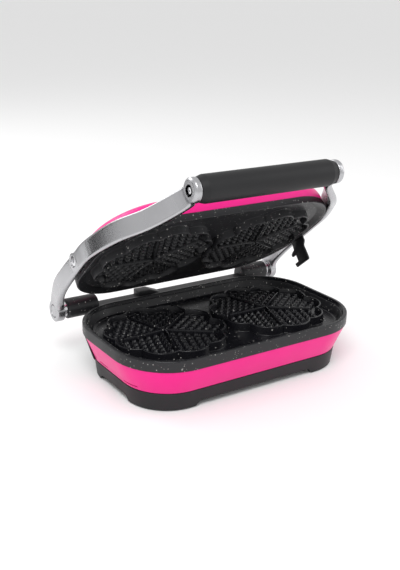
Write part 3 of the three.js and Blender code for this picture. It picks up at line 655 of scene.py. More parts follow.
def block(low: Sequence[float], high: Sequence[float], round_off: float = 0.0) -> BMesh:
    """A box with rounded edges.

    Args:
        low: its lowest corner.
        high: its highest corner.
        round_off: the radius of its edges.

    Returns:
        BMesh: the closed solid.
    """
    bm = bmesh.new()
    bmesh.ops.create_cube(bm, size=1.0)
    a, b = Vector(low), Vector(high)
    matrix = Matrix.Translation((a + b) / 2) @ Matrix.Diagonal((*(b - a), 1))
    bmesh.ops.transform(bm, matrix=matrix, verts=bm.verts[:])
    if round_off > 0:
        rounded(bm, round_off, segments=2)
    return bm


def rounded(bm: BMesh, radius: float, segments: int = 3, angle: float = 30.0) -> BMesh:
    """Rounds the sharp edges of a solid.

    Args:
        bm: the solid.
        radius: how far the rounds reach.
        segments: sides of a round.
        angle: edges sharper than this many degrees are rounded.

    Returns:
        BMesh: the same mesh.
    """
    sharp = [e for e in bm.edges if len(e.link_faces) == 2 and e.calc_face_angle(0) > math.radians(angle)]
    bmesh.ops.bevel(
        bm,
        geom=sharp,
        offset=radius,
        segments=segments,
        profile=0.5,
        affect="EDGES",
        clamp_overlap=True,
        material=-1,
    )
    return bm


def together(*parts: BMesh) -> BMesh:
    """Several solids as one mesh.

    Args:
        parts: the solids, which are used up.

    Returns:
        BMesh: the mesh that holds them all.
    """
    whole = bmesh.new()
    for part in parts:
        held = bpy.data.meshes.new("held")
        part.to_mesh(held)
        part.free()
        whole.from_mesh(held)
        bpy.data.meshes.remove(held)
    return whole


def mirrored(bm: BMesh) -> BMesh:
    """The left-hand twin of a right-hand solid."""
    twin = bm.copy()
    bmesh.ops.scale(twin, vec=(-1, 1, 1), verts=twin.verts[:])
    bmesh.ops.reverse_faces(twin, faces=twin.faces[:])
    return twin


def through_modifiers(bm: BMesh, prepare: Callable[[Object], None]) -> BMesh:
    """Runs modifiers on a mesh and gives the result back as a mesh.

    Args:
        bm: the mesh, which is used up.
        prepare: adds the modifiers to the object that holds it.

    Returns:
        BMesh: the result.
    """
    mesh = bpy.data.meshes.new("work")
    bm.to_mesh(mesh)
    bm.free()
    holder = bpy.data.objects.new("work", mesh)
    bpy.context.scene.collection.objects.link(holder)
    prepare(holder)
    result = bpy.data.meshes.new_from_object(holder.evaluated_get(bpy.context.evaluated_depsgraph_get()))
    made = bmesh.new()
    made.from_mesh(result)
    bpy.data.objects.remove(holder)
    bpy.data.meshes.remove(mesh)
    bpy.data.meshes.remove(result)
    return made


def combined(bm: BMesh, others: Sequence[BMesh], operation: str) -> BMesh:
    """Joins solids to a solid, or cuts them out of it.

    Args:
        bm: the solid, which is used up.
        others: the other solids, which are used up.
        operation: UNION or DIFFERENCE.

    Returns:
        BMesh: the result.
    """
    tools = []
    for other in others:
        mesh = bpy.data.meshes.new("tool")
        other.to_mesh(mesh)
        other.free()
        tool = bpy.data.objects.new("tool", mesh)
        bpy.context.scene.collection.objects.link(tool)
        tools.append(tool)

    def prepare(holder: Object) -> None:
        """Adds one Boolean for each tool."""
        for tool in tools:
            modifier = holder.modifiers.new("cut", "BOOLEAN")
            modifier.operation = operation
            modifier.solver = "EXACT"
            modifier.object = tool

    made = through_modifiers(bm, prepare)
    for tool in tools:
        mesh = tool.data
        bpy.data.objects.remove(tool)
        bpy.data.meshes.remove(mesh)
    return made


def cast(bm: BMesh, grain: float, passes: int) -> BMesh:
    """Makes overlapping solids one casting with soft fillets.

    Args:
        bm: the solids.
        grain: the size of the finest detail kept, in millimetres.
        passes: how often the surface is relaxed.

    Returns:
        BMesh: the casting.
    """

    def prepare(holder: Object) -> None:
        """Adds the remesh and the relaxing."""
        remesh = holder.modifiers.new("cast", "REMESH")
        remesh.mode = "VOXEL"
        remesh.voxel_size = grain
        relax = holder.modifiers.new("relax", "SMOOTH")
        relax.factor = 0.5
        relax.iterations = passes

    return through_modifiers(bm, prepare)


def paint(bm: BMesh, index: int, where: Callable[[BMFace], bool]) -> BMesh:
    """Gives some faces another of the piece's finishes.

    Args:
        bm: the mesh.
        index: the finish's number.
        where: says which faces.

    Returns:
        BMesh: the same mesh.
    """
    bm.normal_update()
    for face in bm.faces:
        if where(face):
            face.material_index = index
    return bm


@dataclass
class SubAssembly:
    """A body of the machine, with the matrix that puts its pieces into the frame."""

    body: str
    place: Matrix
    made: list[Object] = field(default_factory=list)

    def piece(
        self,
        name: str,
        bm: BMesh,
        looks: Look | Sequence[Look],
        slot: str,
        stands_for: Sequence[str] = (),
        sharp: float = 38.0,
    ) -> Object:
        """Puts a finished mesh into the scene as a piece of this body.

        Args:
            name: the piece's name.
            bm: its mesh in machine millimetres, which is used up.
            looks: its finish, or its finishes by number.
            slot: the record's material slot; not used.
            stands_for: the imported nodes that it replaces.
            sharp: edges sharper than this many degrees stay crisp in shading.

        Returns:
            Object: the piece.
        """
        bmesh.ops.transform(bm, matrix=self.place, verts=bm.verts[:])
        for face in bm.faces:
            face.smooth = True
        for edge in bm.edges:
            edge.smooth = len(edge.link_faces) != 2 or edge.calc_face_angle(0) < math.radians(sharp)
        mesh = bpy.data.meshes.new(name)
        bm.to_mesh(mesh)
        bm.free()
        for look in [looks] if isinstance(looks, Look) else looks:
            mesh.materials.append(MATERIALS[look])
        made = bpy.data.objects.new(name, mesh)
        bpy.context.scene.collection.objects.link(made)
        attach(made, self.body)
        if stands_for:
            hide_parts(*stands_for)
        self.made.append(made)
        log.info("%s on %s: %d faces", name, self.body, len(mesh.polygons))
        return made


# ---------------------------------------------------------------- cooking plates


@dataclass
class Mould:
    """One flower-shaped mould: a scalloped kerb round five hearts filled with studs."""

    radius: float
    floor: float
    top: float
    root: float
    wall: float = 3.4
    hearts: int = 5
    lobe_sides: int = 9
    pitch: float = 9.6
    stud: float = 6.9
    stud_top: float = 0.6
    stud_height: float = 4.6
    rib: float = 3.0

    @property
    def lobe(self) -> float:
        """The radius of one lobe."""
        return self.radius / 3

    def ring(self, bm: BMesh, inset: float, height: float) -> list[BMEdge]:
        """Draws the scalloped line.

        Args:
            bm: the mesh it goes into.
            inset: how far inside the mould's outer line.
            height: its height.

        Returns:
            list: the line's edges.
        """
        reach, radius = self.radius - self.lobe, self.lobe - inset
        half, spread = math.pi / (2 * self.hearts), self.spread(inset)
        known = set(bm.edges)
        for lobe in range(2 * self.hearts):
            turn = (2 * lobe + 1) * half
            centre = Vector((reach * math.cos(turn), reach * math.sin(turn), height))
            way = Vector((math.cos(turn - spread), math.sin(turn - spread), 0))
            start = bm.verts.new(centre + way * radius)
            bmesh.ops.spin(
                bm,
                geom=[start],
                cent=centre,
                axis=(0, 0, 1),
                angle=2 * spread,
                steps=self.lobe_sides,
                use_merge=False,
            )
        fresh = {vert for edge in added(bm, known) for vert in edge.verts}
        bmesh.ops.remove_doubles(bm, verts=list(fresh), dist=0.01)
        return added(bm, known)

    def kerb(self) -> BMesh:
        """The kerb and the mould's floor.

        Returns:
            BMesh: the closed solid.
        """
        corners = [
            (-1.6, self.root, 0),
            (-0.5, self.root + 0.8, 1.0),
            (0.5, self.top, 1.2),
            (self.wall - 0.7, self.top, 1.2),
            (self.wall + 0.4, self.floor, 1.6),
            (self.wall + 2.2, self.floor, 0),
        ]
        bm = bmesh.new()
        loop = self.ring(bm, 0, 0)

        def mover(inset: float, height: float) -> Callable[[Vector], Vector]:
            """Places the scalloped line at one level."""
            return lambda point: self.inset(point, inset, height)

        return drawn_out(bm, loop, [mover(*level) for level in softened(corners, steps=4)], closed=False)

    def inset(self, point: Vector, inset: float, height: float) -> Vector:
        """Moves a point of the mould's outer line inwards.

        Args:
            point: the point.
            inset: how far inside the outer line.
            height: its new height.

        Returns:
            Vector: the moved point.
        """
        half = math.pi / (2 * self.hearts)
        turn = (2 * round((math.atan2(point.y, point.x) / half - 1) / 2) + 1) * half
        centre = Vector((math.cos(turn), math.sin(turn), 0)) * (self.radius - self.lobe)
        off = point - centre
        swing = (math.atan2(off.y, off.x) - turn + math.pi) % math.tau - math.pi
        swing *= self.spread(inset) / self.spread(0)
        way = Vector((math.cos(turn + swing), math.sin(turn + swing), 0))
        return centre + way * (self.lobe - inset) + Vector((0, 0, height))

    def spread(self, inset: float) -> float:
        """Half the turn of one lobe's arc, between its clefts.

        Args:
            inset: how far inside the outer line.

        Returns:
            float: the angle.
        """
        reach, radius = self.radius - self.lobe, self.lobe - inset
        half = math.pi / (2 * self.hearts)
        along = reach * math.cos(half) + math.sqrt(radius**2 - (reach * math.sin(half)) ** 2)
        return math.atan2(along * math.sin(half), along * math.cos(half) - reach)

    def ribs(self) -> BMesh:
        """The five straight ribs between neighbouring hearts.

        Returns:
            BMesh: the ribs.
        """
        length = self.radius - self.lobe * 0.75
        bars = []
        for heart in range(self.hearts):
            bar = block((0, -self.rib / 2, self.floor - 1), (length, self.rib / 2, self.top - 1.4))
            crest = [vert for vert in bar.verts if vert.co.z > self.floor]
            bmesh.ops.scale(bar, vec=(1, 0.55, 1), verts=crest)
            rounded(bar, 0.7, segments=2)
            turn = math.tau * (heart + 0.5) / self.hearts
            bmesh.ops.rotate(bar, cent=(0, 0, 0), matrix=Matrix.Rotation(turn, 3, "Z"), verts=bar.verts[:])
            bars.append(bar)
        return together(*bars)

    def inside(self, x: float, y: float) -> bool:
        """Whether a stud at a point of the heart along +X clears the kerb and the ribs.

        Args:
            x: the point's place along the heart.
            y: its place across it.

        Returns:
            bool: whether it fits.
        """
        half = math.pi / (2 * self.hearts)
        reach = self.radius - self.lobe
        to_rib = x * math.sin(2 * half) - abs(y) * math.cos(2 * half)
        lobe_y = reach * math.sin(half)
        to_lobe = math.hypot(x - reach * math.cos(half), abs(y) - lobe_y)
        room = self.stud * 0.5
        near_middle = x < reach * math.cos(half) and abs(y) < lobe_y + self.lobe * 0.3
        in_lobe = to_lobe < self.lobe - self.wall - room
        return to_rib > self.rib / 2 + room and (in_lobe or near_middle)

    def studs(self) -> BMesh:
        """The diamond studs that press the pockets into the waffle.

        Returns:
            BMesh: the studs of all the hearts.
        """
        half = math.pi / self.hearts
        one, other = Vector((math.cos(half), math.sin(half), 0)), Vector((math.cos(half), -math.sin(half), 0))
        step = self.pitch / math.sin(2 * half)
        shape = Matrix((one * self.stud, other * self.stud, Vector((0, 0, self.stud_height)))).transposed()
        most = int(self.radius / step) + 1
        placed = []
        for i in range(most):
            for j in range(most):
                centre = one * (step * (i + 0.62)) + other * (step * (j + 0.62))
                if self.inside(centre.x, centre.y):
                    placed.append(centre)
        rows = []
        for heart in range(self.hearts):
            turn = Matrix.Rotation(math.tau * heart / self.hearts, 4, "Z")
            for centre in placed:
                stud = bmesh.new()
                bmesh.ops.create_cube(stud, size=1.0)
                crest = [vert for vert in stud.verts if vert.co.z > 0]
                bmesh.ops.scale(stud, vec=(self.stud_top, self.stud_top, 1), verts=crest)
                upright = [e for e in stud.edges if any(v in crest for v in e.verts)]
                bmesh.ops.bevel(
                    stud, geom=upright, offset=0.08, segments=1, profile=0.5, affect="EDGES", material=-1
                )
                lift = Matrix.Translation((centre.x, centre.y, self.floor + self.stud_height / 2 - 0.3))
                matrix = turn @ lift @ shape.to_4x4()
                bmesh.ops.transform(stud, matrix=matrix, verts=stud.verts[:])
                rows.append(outward(stud))
        return together(*rows)

    def whole(self) -> BMesh:
        """The complete mould about the origin.

        Returns:
            BMesh: kerb, ribs and studs.
        """
        return together(self.kerb(), self.ribs(), self.studs())


@dataclass
class CookingPlate:
    """A cast plate, face up with its rim at height 0: skirt, land, sloping wall, floor and two moulds."""

    name: str
    outline: Outline
    skirt: float
    depth: float
    slope: float
    land: float
    mould_floor: float
    kerb_top: float
    floor_round: float
    casting: float = 3.2
    mould_radius: float = 79.28
    mould_apart: float = 5.0

    @property
    def mould_x(self) -> float:
        """How far each mould's middle stands to the side."""
        half_width = self.mould_radius * (2 * math.cos(math.pi / 10) + 1) / 3
        return half_width + self.mould_apart / 2

    def pan(self) -> BMesh:
        """The casting without its moulds.

        Returns:
            BMesh: the closed solid, its cooking side painted with the second finish.
        """
        under = self.casting + 0.8
        corners = [
            (self.slope + 1.5, -self.depth - self.casting, 0),
            (self.land + self.casting, -under, 2.0),
            (self.casting, -under, 0.8),
            (self.casting, -self.skirt, 0.6),
            (0.15, -self.skirt, 0.9),
            (0, 0, 1.9),
            (self.land, 0, 1.6),
            (self.slope, -self.depth, self.floor_round),
            (self.slope + 6, -self.depth, 0),
        ]
        bm = self.outline.loft(softened(corners))
        land = self.land * 0.8

        def cooking_side(face: BMFace) -> bool:
            """Whether a face looks up from inside the rim."""
            spot = face.calc_center_median()
            half = Vector((self.outline.width / 2 - land, self.outline.depth / 2 - land))
            inside = abs(spot.x) < half.x and abs(spot.y - self.outline.y) < half.y
            return face.normal.z > 0.1 and inside and spot.z < -0.1

        return paint(bm, 1, cooking_side)

    def moulds(self) -> BMesh:
        """Both moulds, side by side.

        Returns:
            BMesh: the moulds.
        """
        root = -self.depth - 0.6
        sides = []
        for side in (-1, 1):
            mould = Mould(self.mould_radius, self.mould_floor, self.kerb_top, root).whole()
            shift = (side * self.mould_x, self.outline.y, 0)
            bmesh.ops.translate(mould, verts=mould.verts[:], vec=shift)
            sides.append(mould)
        return together(*sides)


# ---------------------------------------------------------------- base


@dataclass
class Base(SubAssembly):
    """The bottom shell, the coloured band, the rear housing, the lower plate and the hinge barrels."""

    corner: float = 73.0
    skirt: float = 14.0
    shell_top: float = 24.1
    shell_inset: float = 14.2
    foot_inset: float = 17.3
    shell_bottom: float = 1.2
    foot_height: float = 7.9
    foot_half_x: float = 84.0
    foot_half_y: float = 31.0
    foot_slope: float = 8.0
    wall: float = 2.6
    seam: float = 0.7
    band_end: float = 44.0
    slot_rows: tuple[Level, ...] = ((-58.0, -34.0), (6.0, 28.0))
    slot_rise: float = 4.4
    slot_tall: float = 1.5
    barrel: float = 13.3
    barrel_in: float = 52.0
    barrel_out: float = 8.0
    gland_x: float = 55.0
    gland_drop: float = 24.0

    @property
    def rim(self) -> Outline:
        """The rim of the tray."""
        return Outline(LAYOUT.rim_width, LAYOUT.rim_depth, self.corner)

    def arch(self, half: float, reach: float) -> BMesh:
        """The space between two feet, running along X.

        Args:
            half: half its width at the top.
            reach: how far it runs each way.

        Returns:
            BMesh: the solid to cut away.
        """
        ends = half + self.foot_slope
        height = self.foot_height
        corners = [(-ends, -1, 0), (ends, -1, 0), (half, height, 3.0), (-half, height, 3.0)]
        return plate_of(softened(corners, closed=True, steps=4), -reach, reach)

    def shell(self) -> BMesh:
        """The black bottom shell with its four feet.

        Returns:
            BMesh: the closed solid.
        """
        floor = self.foot_height + self.wall
        lean = (self.foot_inset - self.shell_inset) / self.shell_top
        inside = self.shell_inset + self.wall
        corners = [
            (self.foot_inset - lean * self.shell_bottom + 4, self.shell_bottom, 0),
            (self.foot_inset - lean * self.shell_bottom, self.shell_bottom, 1.0),
            (self.shell_inset, self.shell_top, 0.8),
            (inside, self.shell_top, 0.4),
            (inside + lean * (self.shell_top - floor), floor, 1.5),
            (inside + lean * (self.shell_top - floor) + 6, floor, 0),
        ]
        tub = self.rim.loft(softened(corners))
        lengthways = self.arch(self.foot_half_y, LAYOUT.rim_width)
        crossways = self.arch(self.foot_half_x, LAYOUT.rim_depth)
        quarter = Matrix.Rotation(math.radians(90), 3, "Z")
        bmesh.ops.rotate(crossways, cent=(0, 0, 0), matrix=quarter, verts=crossways.verts[:])
        pitch, half_slot = 14.0, 24.0
        vents = [
            block((n * pitch - 2, -half_slot, self.foot_height - 2), (n * pitch + 2, half_slot, floor + 2))
            for n in range(-2, 3)
        ]
        return combined(tub, [lengthways, crossways, *vents], "DIFFERENCE")

    def ring(self, foot: float, head: float) -> BMesh:
        """The wall between the bottom shell and the rim.

        Args:
            foot: its inset at the bottom.
            head: its inset at the top.

        Returns:
            BMesh: the wall all the way round.
        """
        low = self.shell_top + self.seam
        high = LAYOUT.rim_top - self.skirt - GAP
        corners = [
            (foot, low, 0.6),
            (head, high, 0.3),
            (head + self.wall, high, 0.3),
            (foot + self.wall, low, 0.3),
        ]
        return self.rim.loft(softened(corners, closed=True, steps=3), closed=True)

    def cut_at(self, bm: BMesh, y: float, keep_front: bool) -> BMesh:
        """Cuts a wall across and closes its ends.

        Args:
            bm: the wall.
            y: where it is cut.
            keep_front: whether the front part stays.

        Returns:
            BMesh: the same mesh.
        """
        geometry = [*bm.verts, *bm.edges, *bm.faces]
        normal = (0, 1 if keep_front else -1, 0)
        bmesh.ops.bisect_plane(bm, geom=geometry, plane_co=(0, y, 0), plane_no=normal, clear_outer=True)
        close_holes(bm)
        return outward(bm)

    def band(self) -> BMesh:
        """The coloured band with its vent slots.

        Returns:
            BMesh: the closed solid.
        """
        ring = self.cut_at(self.ring(self.shell_inset + 0.2, 1.0), self.band_end, True)
        low = self.shell_top + self.slot_rise
        reach = LAYOUT.rim_width / 2
        slots = []
        for front, back in self.slot_rows:
            for side in (-1, 1):
                ends = sorted((side * (reach - 26), side * (reach + 5)))
                slots.append(block((ends[0], front, low), (ends[1], back, low + self.slot_tall)))
        return combined(ring, slots, "DIFFERENCE")

    def housing(self) -> BMesh:
        """The black rear housing: the wall behind the band, the hinge block and the lead duct.

        Returns:
            BMesh: the closed solids.
        """
        wall = self.cut_at(self.ring(self.shell_inset - 2.4, 1.0), self.band_end + GAP, False)
        back = LAYOUT.rim_depth / 2
        hinge = LAYOUT.hinge
        behind = hinge.y + self.barrel - 1.5
        top = LAYOUT.rim_top - 2.4
        middle = LAYOUT.rim_top - self.skirt - GAP
        low = self.shell_top + self.seam
        half = LAYOUT.rim_width / 2 - self.barrel_in - GAP - 0.3
        profile = [
            (back - self.shell_inset + 2, low, 0),
            (back - 4, low, 4),
            (behind - 4, hinge.z - 34, 4),
            (behind, hinge.z - 26, 5),
            (behind, top - 5, 2),
            (behind - 5, top, 3),
            (back + GAP + 0.2, top, 1),
            (back + GAP + 0.2, middle - 0.2, 0),
            (back - 5, middle - 0.2, 0),
        ]
        side_view = softened(profile, closed=True, steps=4)
        body = rounded(plate_of(side_view, -half, half), 0.8, segments=2, angle=50)
        bore = turned(disc(3.2, -12, 12), (self.gland_x, behind, hinge.z - self.gland_drop), Axis.Y, sides=24)
        body = combined(body, [bore], "DIFFERENCE")
        return together(wall, body, self.duct(top, hinge.y + 7))

    def duct(self, foot: float, back: float) -> BMesh:
        """The duct that takes the lid's lead.

        Args:
            foot: the top of the block that it stands on.
            back: its rear face.

        Returns:
            BMesh: the closed solid.
        """
        high, deep = LAYOUT.rim_top + 5.2, 16.0
        profile = [
            (-56, foot - 1, 0),
            (-20, foot - 1, 0),
            (-20, foot + 0.5, 0),
            (-38, high, 3),
            (-56, high, 1.5),
        ]
        bm = plate_of(softened(profile, closed=True, steps=4), 0, deep)
        turn = Matrix.Rotation(math.radians(-90), 4, "Z")
        bmesh.ops.transform(bm, matrix=Matrix.Translation((0, back, 0)) @ turn, verts=bm.verts[:])
        return rounded(bm, 0.7, segments=2, angle=50)

    def gland(self) -> BMesh:
        """The rubber gland for the supply cord.

        Returns:
            BMesh: the closed solid.
        """
        section = [
            (-7.4, 3.2, 0),
            (-7.4, 4.9, 0.4),
            (0, 4.9, 0),
            (0, 6.5, 0.3),
            (2.4, 6.2, 0.8),
            (2.4, 3.2, 0.5),
        ]
        behind = LAYOUT.hinge.y + self.barrel - 1.5 + GAP
        at = (self.gland_x, behind, LAYOUT.hinge.z - self.gland_drop)
        return turned(softened(section, closed=True, steps=3), at, Axis.Y, closed=True, sides=32)

    def hinge_barrel(self) -> BMesh:
        """The right hinge barrel, a thick collar with a chamfered inner end.

        Returns:
            BMesh: the closed solid.
        """
        start, end = LAYOUT.rim_width / 2 - self.barrel_in, LAYOUT.rim_width / 2 - self.barrel_out
        section = [
            (start, 0, 0),
            (start, self.barrel - 2, 0.8),
            (start + 2, self.barrel, 1.2),
            (end - 1.2, self.barrel, 0.8),
            (end, self.barrel - 1.1, 0.8),
            (end, 0, 0),
        ]
        return turned(softened(section, steps=4), (0, LAYOUT.hinge.y, LAYOUT.hinge.z))

    def build(self) -> None:
        """Builds the base's pieces."""
        self.piece("bottom_shell", self.shell(), Look.BLACK, "black_moulding", ["base_shell"])
        self.piece("coloured_band", self.band(), Look.PINK, "pink_gloss", ["body_band"])
        self.piece("rear_cover", self.housing(), Look.BLACK, "black_moulding", ["rear_housing"])
        self.piece("rubber_gland", self.gland(), Look.RUBBER, "rubber_foot", ["cord_gland"])
        plate = CookingPlate(
            name="tray",
            outline=self.rim,
            skirt=self.skirt,
            depth=15.2,
            slope=13.5,
            land=4.5,
            mould_floor=-11.7,
            kerb_top=-4.2,
            floor_round=7.0,
        )
        raised = (0, 0, LAYOUT.rim_top)
        pan, moulds = plate.pan(), plate.moulds()
        for bm in (pan, moulds):
            bmesh.ops.translate(bm, verts=bm.verts[:], vec=raised)
        looks = (Look.SATIN_COAT, Look.GLOSS_COAT)
        self.piece("tray", pan, looks, "coated_casting", ["lower_plate"])
        self.piece("tray_moulds", moulds, Look.GLOSS_COAT, "coated_casting")
        barrel = self.hinge_barrel()
        for side, bm in (("left", mirrored(barrel)), ("right", barrel)):
            self.piece(f"barrel_{side}", bm, Look.SATIN_COAT, "coated_casting", [f"hinge_barrel_{side}"])
        for end in ("front", "rear"):
            for side in ("left", "right"):
                self.foot_pad(f"{end}_{side}")
        low, high = (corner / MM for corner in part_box("catch_stud"))
        inner = LAYOUT.base.inverted() @ (low * MM)
        outer = LAYOUT.base.inverted() @ (high * MM)
        middle = (inner + outer) / 2
        stud = turned(disc((outer.z - inner.z) / 2, inner.x, outer.x, 0.6), (0, middle.y, middle.z), sides=28)
        self.piece("catch_pin", stud, Look.STEEL, "bright_steel", ["catch_stud"])

    def foot_pad(self, where: str) -> None:
        """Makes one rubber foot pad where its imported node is.

        Args:
            where: which corner of the machine.
        """
        low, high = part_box(f"foot_pad_{where}")
        inverse = LAYOUT.base.inverted()
        foot, head = inverse @ low, inverse @ high
        centre = (foot + head) / 2
        corners = [
            (foot.z, 0, 0),
            (foot.z, 6.5, 0.6),
            (foot.z + 0.4, 9, 0.8),
            (head.z, 9, 0.3),
            (head.z, 0, 0),
        ]
        section = softened(corners, steps=3)
        pad = turned(section, (centre.x, centre.y, 0), Axis.Z, sides=32)
        self.piece(f"pad_{where}", pad, Look.RUBBER, "rubber_foot", [f"foot_pad_{where}"])


# ---------------------------------------------------------------- lid


@dataclass
class Lid(SubAssembly):
    """The upper plate under its domed, coloured cover, with two pilot lights."""

    overhang: float = 1.65
    front: float = 2.7
    rear: float = 4.2
    corner: float = 80.0
    gap: float = 2.7
    skirt: float = 9.0
    dome: float = 31.0
    crown: float = 1.4
    wall: float = 2.6
    kerb: float = 4.8
    lamp: float = 3.6
    lamp_y: float = -52.0
    lamps: tuple[tuple[str, float], ...] = (("power_light", -9.0), ("ready_light", 9.0))
    levels: tuple[Level, ...] = (
        (0.8, 0.0),
        (1.2, 0.3),
        (3.4, 0.52),
        (8.5, 0.74),
        (18.0, 0.89),
        (34.0, 0.97),
        (66.0, 1.0),
    )

    @property
    def outline(self) -> Outline:
        """The lid's rim."""
        width = LAYOUT.rim_width + 2 * self.overhang
        depth = LAYOUT.rim_depth - self.front - self.rear
        return Outline(width, depth, self.corner, (self.front - self.rear) / 2)

    @property
    def rim(self) -> float:
        """The height of the lid's rim, shut."""
        return LAYOUT.rim_top + self.gap

    @property
    def foot(self) -> float:
        """The height of the dome's foot, shut."""
        return self.rim + self.skirt + GAP

    def cover(self) -> BMesh:
        """The domed cover.

        Returns:
            BMesh: the closed shell.
        """
        curve = spline([Vector((inset, rise)) for inset, rise in self.levels], 5)
        outside = [(point.x, self.foot + point.y * self.dome) for point in curve]
        inside = [(min(inset + self.wall, 74), self.foot + (z - self.foot) * 0.92) for inset, z in outside]
        peak = self.foot + self.dome
        crowned = [(70.0, peak + self.crown * 0.12), (76.0, peak + self.crown * 0.3)]
        dome = self.outline.loft([*reversed(inside), *outside, *crowned])
        top = max(dome.verts, key=lambda vert: vert.co.z).co.z
        lid = [face for face in dome.faces if all(abs(vert.co.z - top) < 1e-3 for vert in face.verts)]
        for share, rise in ((0.8, 0.55), (0.5, 0.82), (0.2, 0.97)):
            bmesh.ops.inset_region(dome, faces=lid, thickness=0.01)
            crest = {vert for face in lid for vert in face.verts}
            for vert in crest:
                across = (vert.co.y - self.outline.y) * share
                vert.co = Vector((vert.co.x * share, self.outline.y + across, peak + self.crown * rise))
        middle = self.foot + self.dome / 2
        holes = [
            turned(disc(self.lamp + GAP, 0, 40), (x, self.lamp_y, middle), Axis.Z, sides=32)
            for _, x in self.lamps
        ]
        at_pivot = (0, LAYOUT.pivot.y, LAYOUT.pivot.z)
        bore = turned(disc(5 + GAP, self.outline.width / 2 - 12, 200), at_pivot, sides=32)
        return combined(dome, [*holes, bore, mirrored(bore)], "DIFFERENCE")

    def light(self, x: float) -> BMesh:
        """A pilot light's domed lens.

        Args:
            x: where it stands.

        Returns:
            BMesh: the closed solid.
        """
        top = self.foot + self.dome
        section = [(top - 6, 0, 0), (top - 6, self.lamp, 0.4), (top + 0.9, self.lamp, 0.9), (top + 2.1, 0, 0)]
        return turned(softened(section, steps=5), (x, self.lamp_y, 0), Axis.Z, sides=32)

    def build(self) -> None:
        """Builds the lid's pieces."""
        self.piece("dome", self.cover(), Look.PINK, "pink_gloss", ["lid_cover"], sharp=30)
        depth = 5.0
        plate = CookingPlate(
            name="lid_plate",
            outline=Outline(self.outline.width, self.outline.depth, self.corner, -self.outline.y),
            skirt=self.skirt,
            depth=depth,
            slope=12.0,
            land=2.5,
            mould_floor=self.kerb - 7.5,
            kerb_top=self.kerb,
            floor_round=4.0,
        )
        over = Matrix.Translation((0, 0, self.rim)) @ Matrix.Rotation(math.pi, 4, "X")
        pan, moulds = plate.pan(), plate.moulds()
        for bm in (pan, moulds):
            bmesh.ops.transform(bm, matrix=over, verts=bm.verts[:])
        self.piece("lid_plate", pan, (Look.SATIN_COAT, Look.SATIN_COAT), "coated_casting", ["upper_plate"])
        self.piece("lid_moulds", moulds, Look.SATIN_COAT, "coated_casting")
        for name, x in self.lamps:
            self.piece(f"{name}_lens", self.light(x), Look.LENS, "lamp_lens", [name])


# ---------------------------------------------------------------- arms and handle


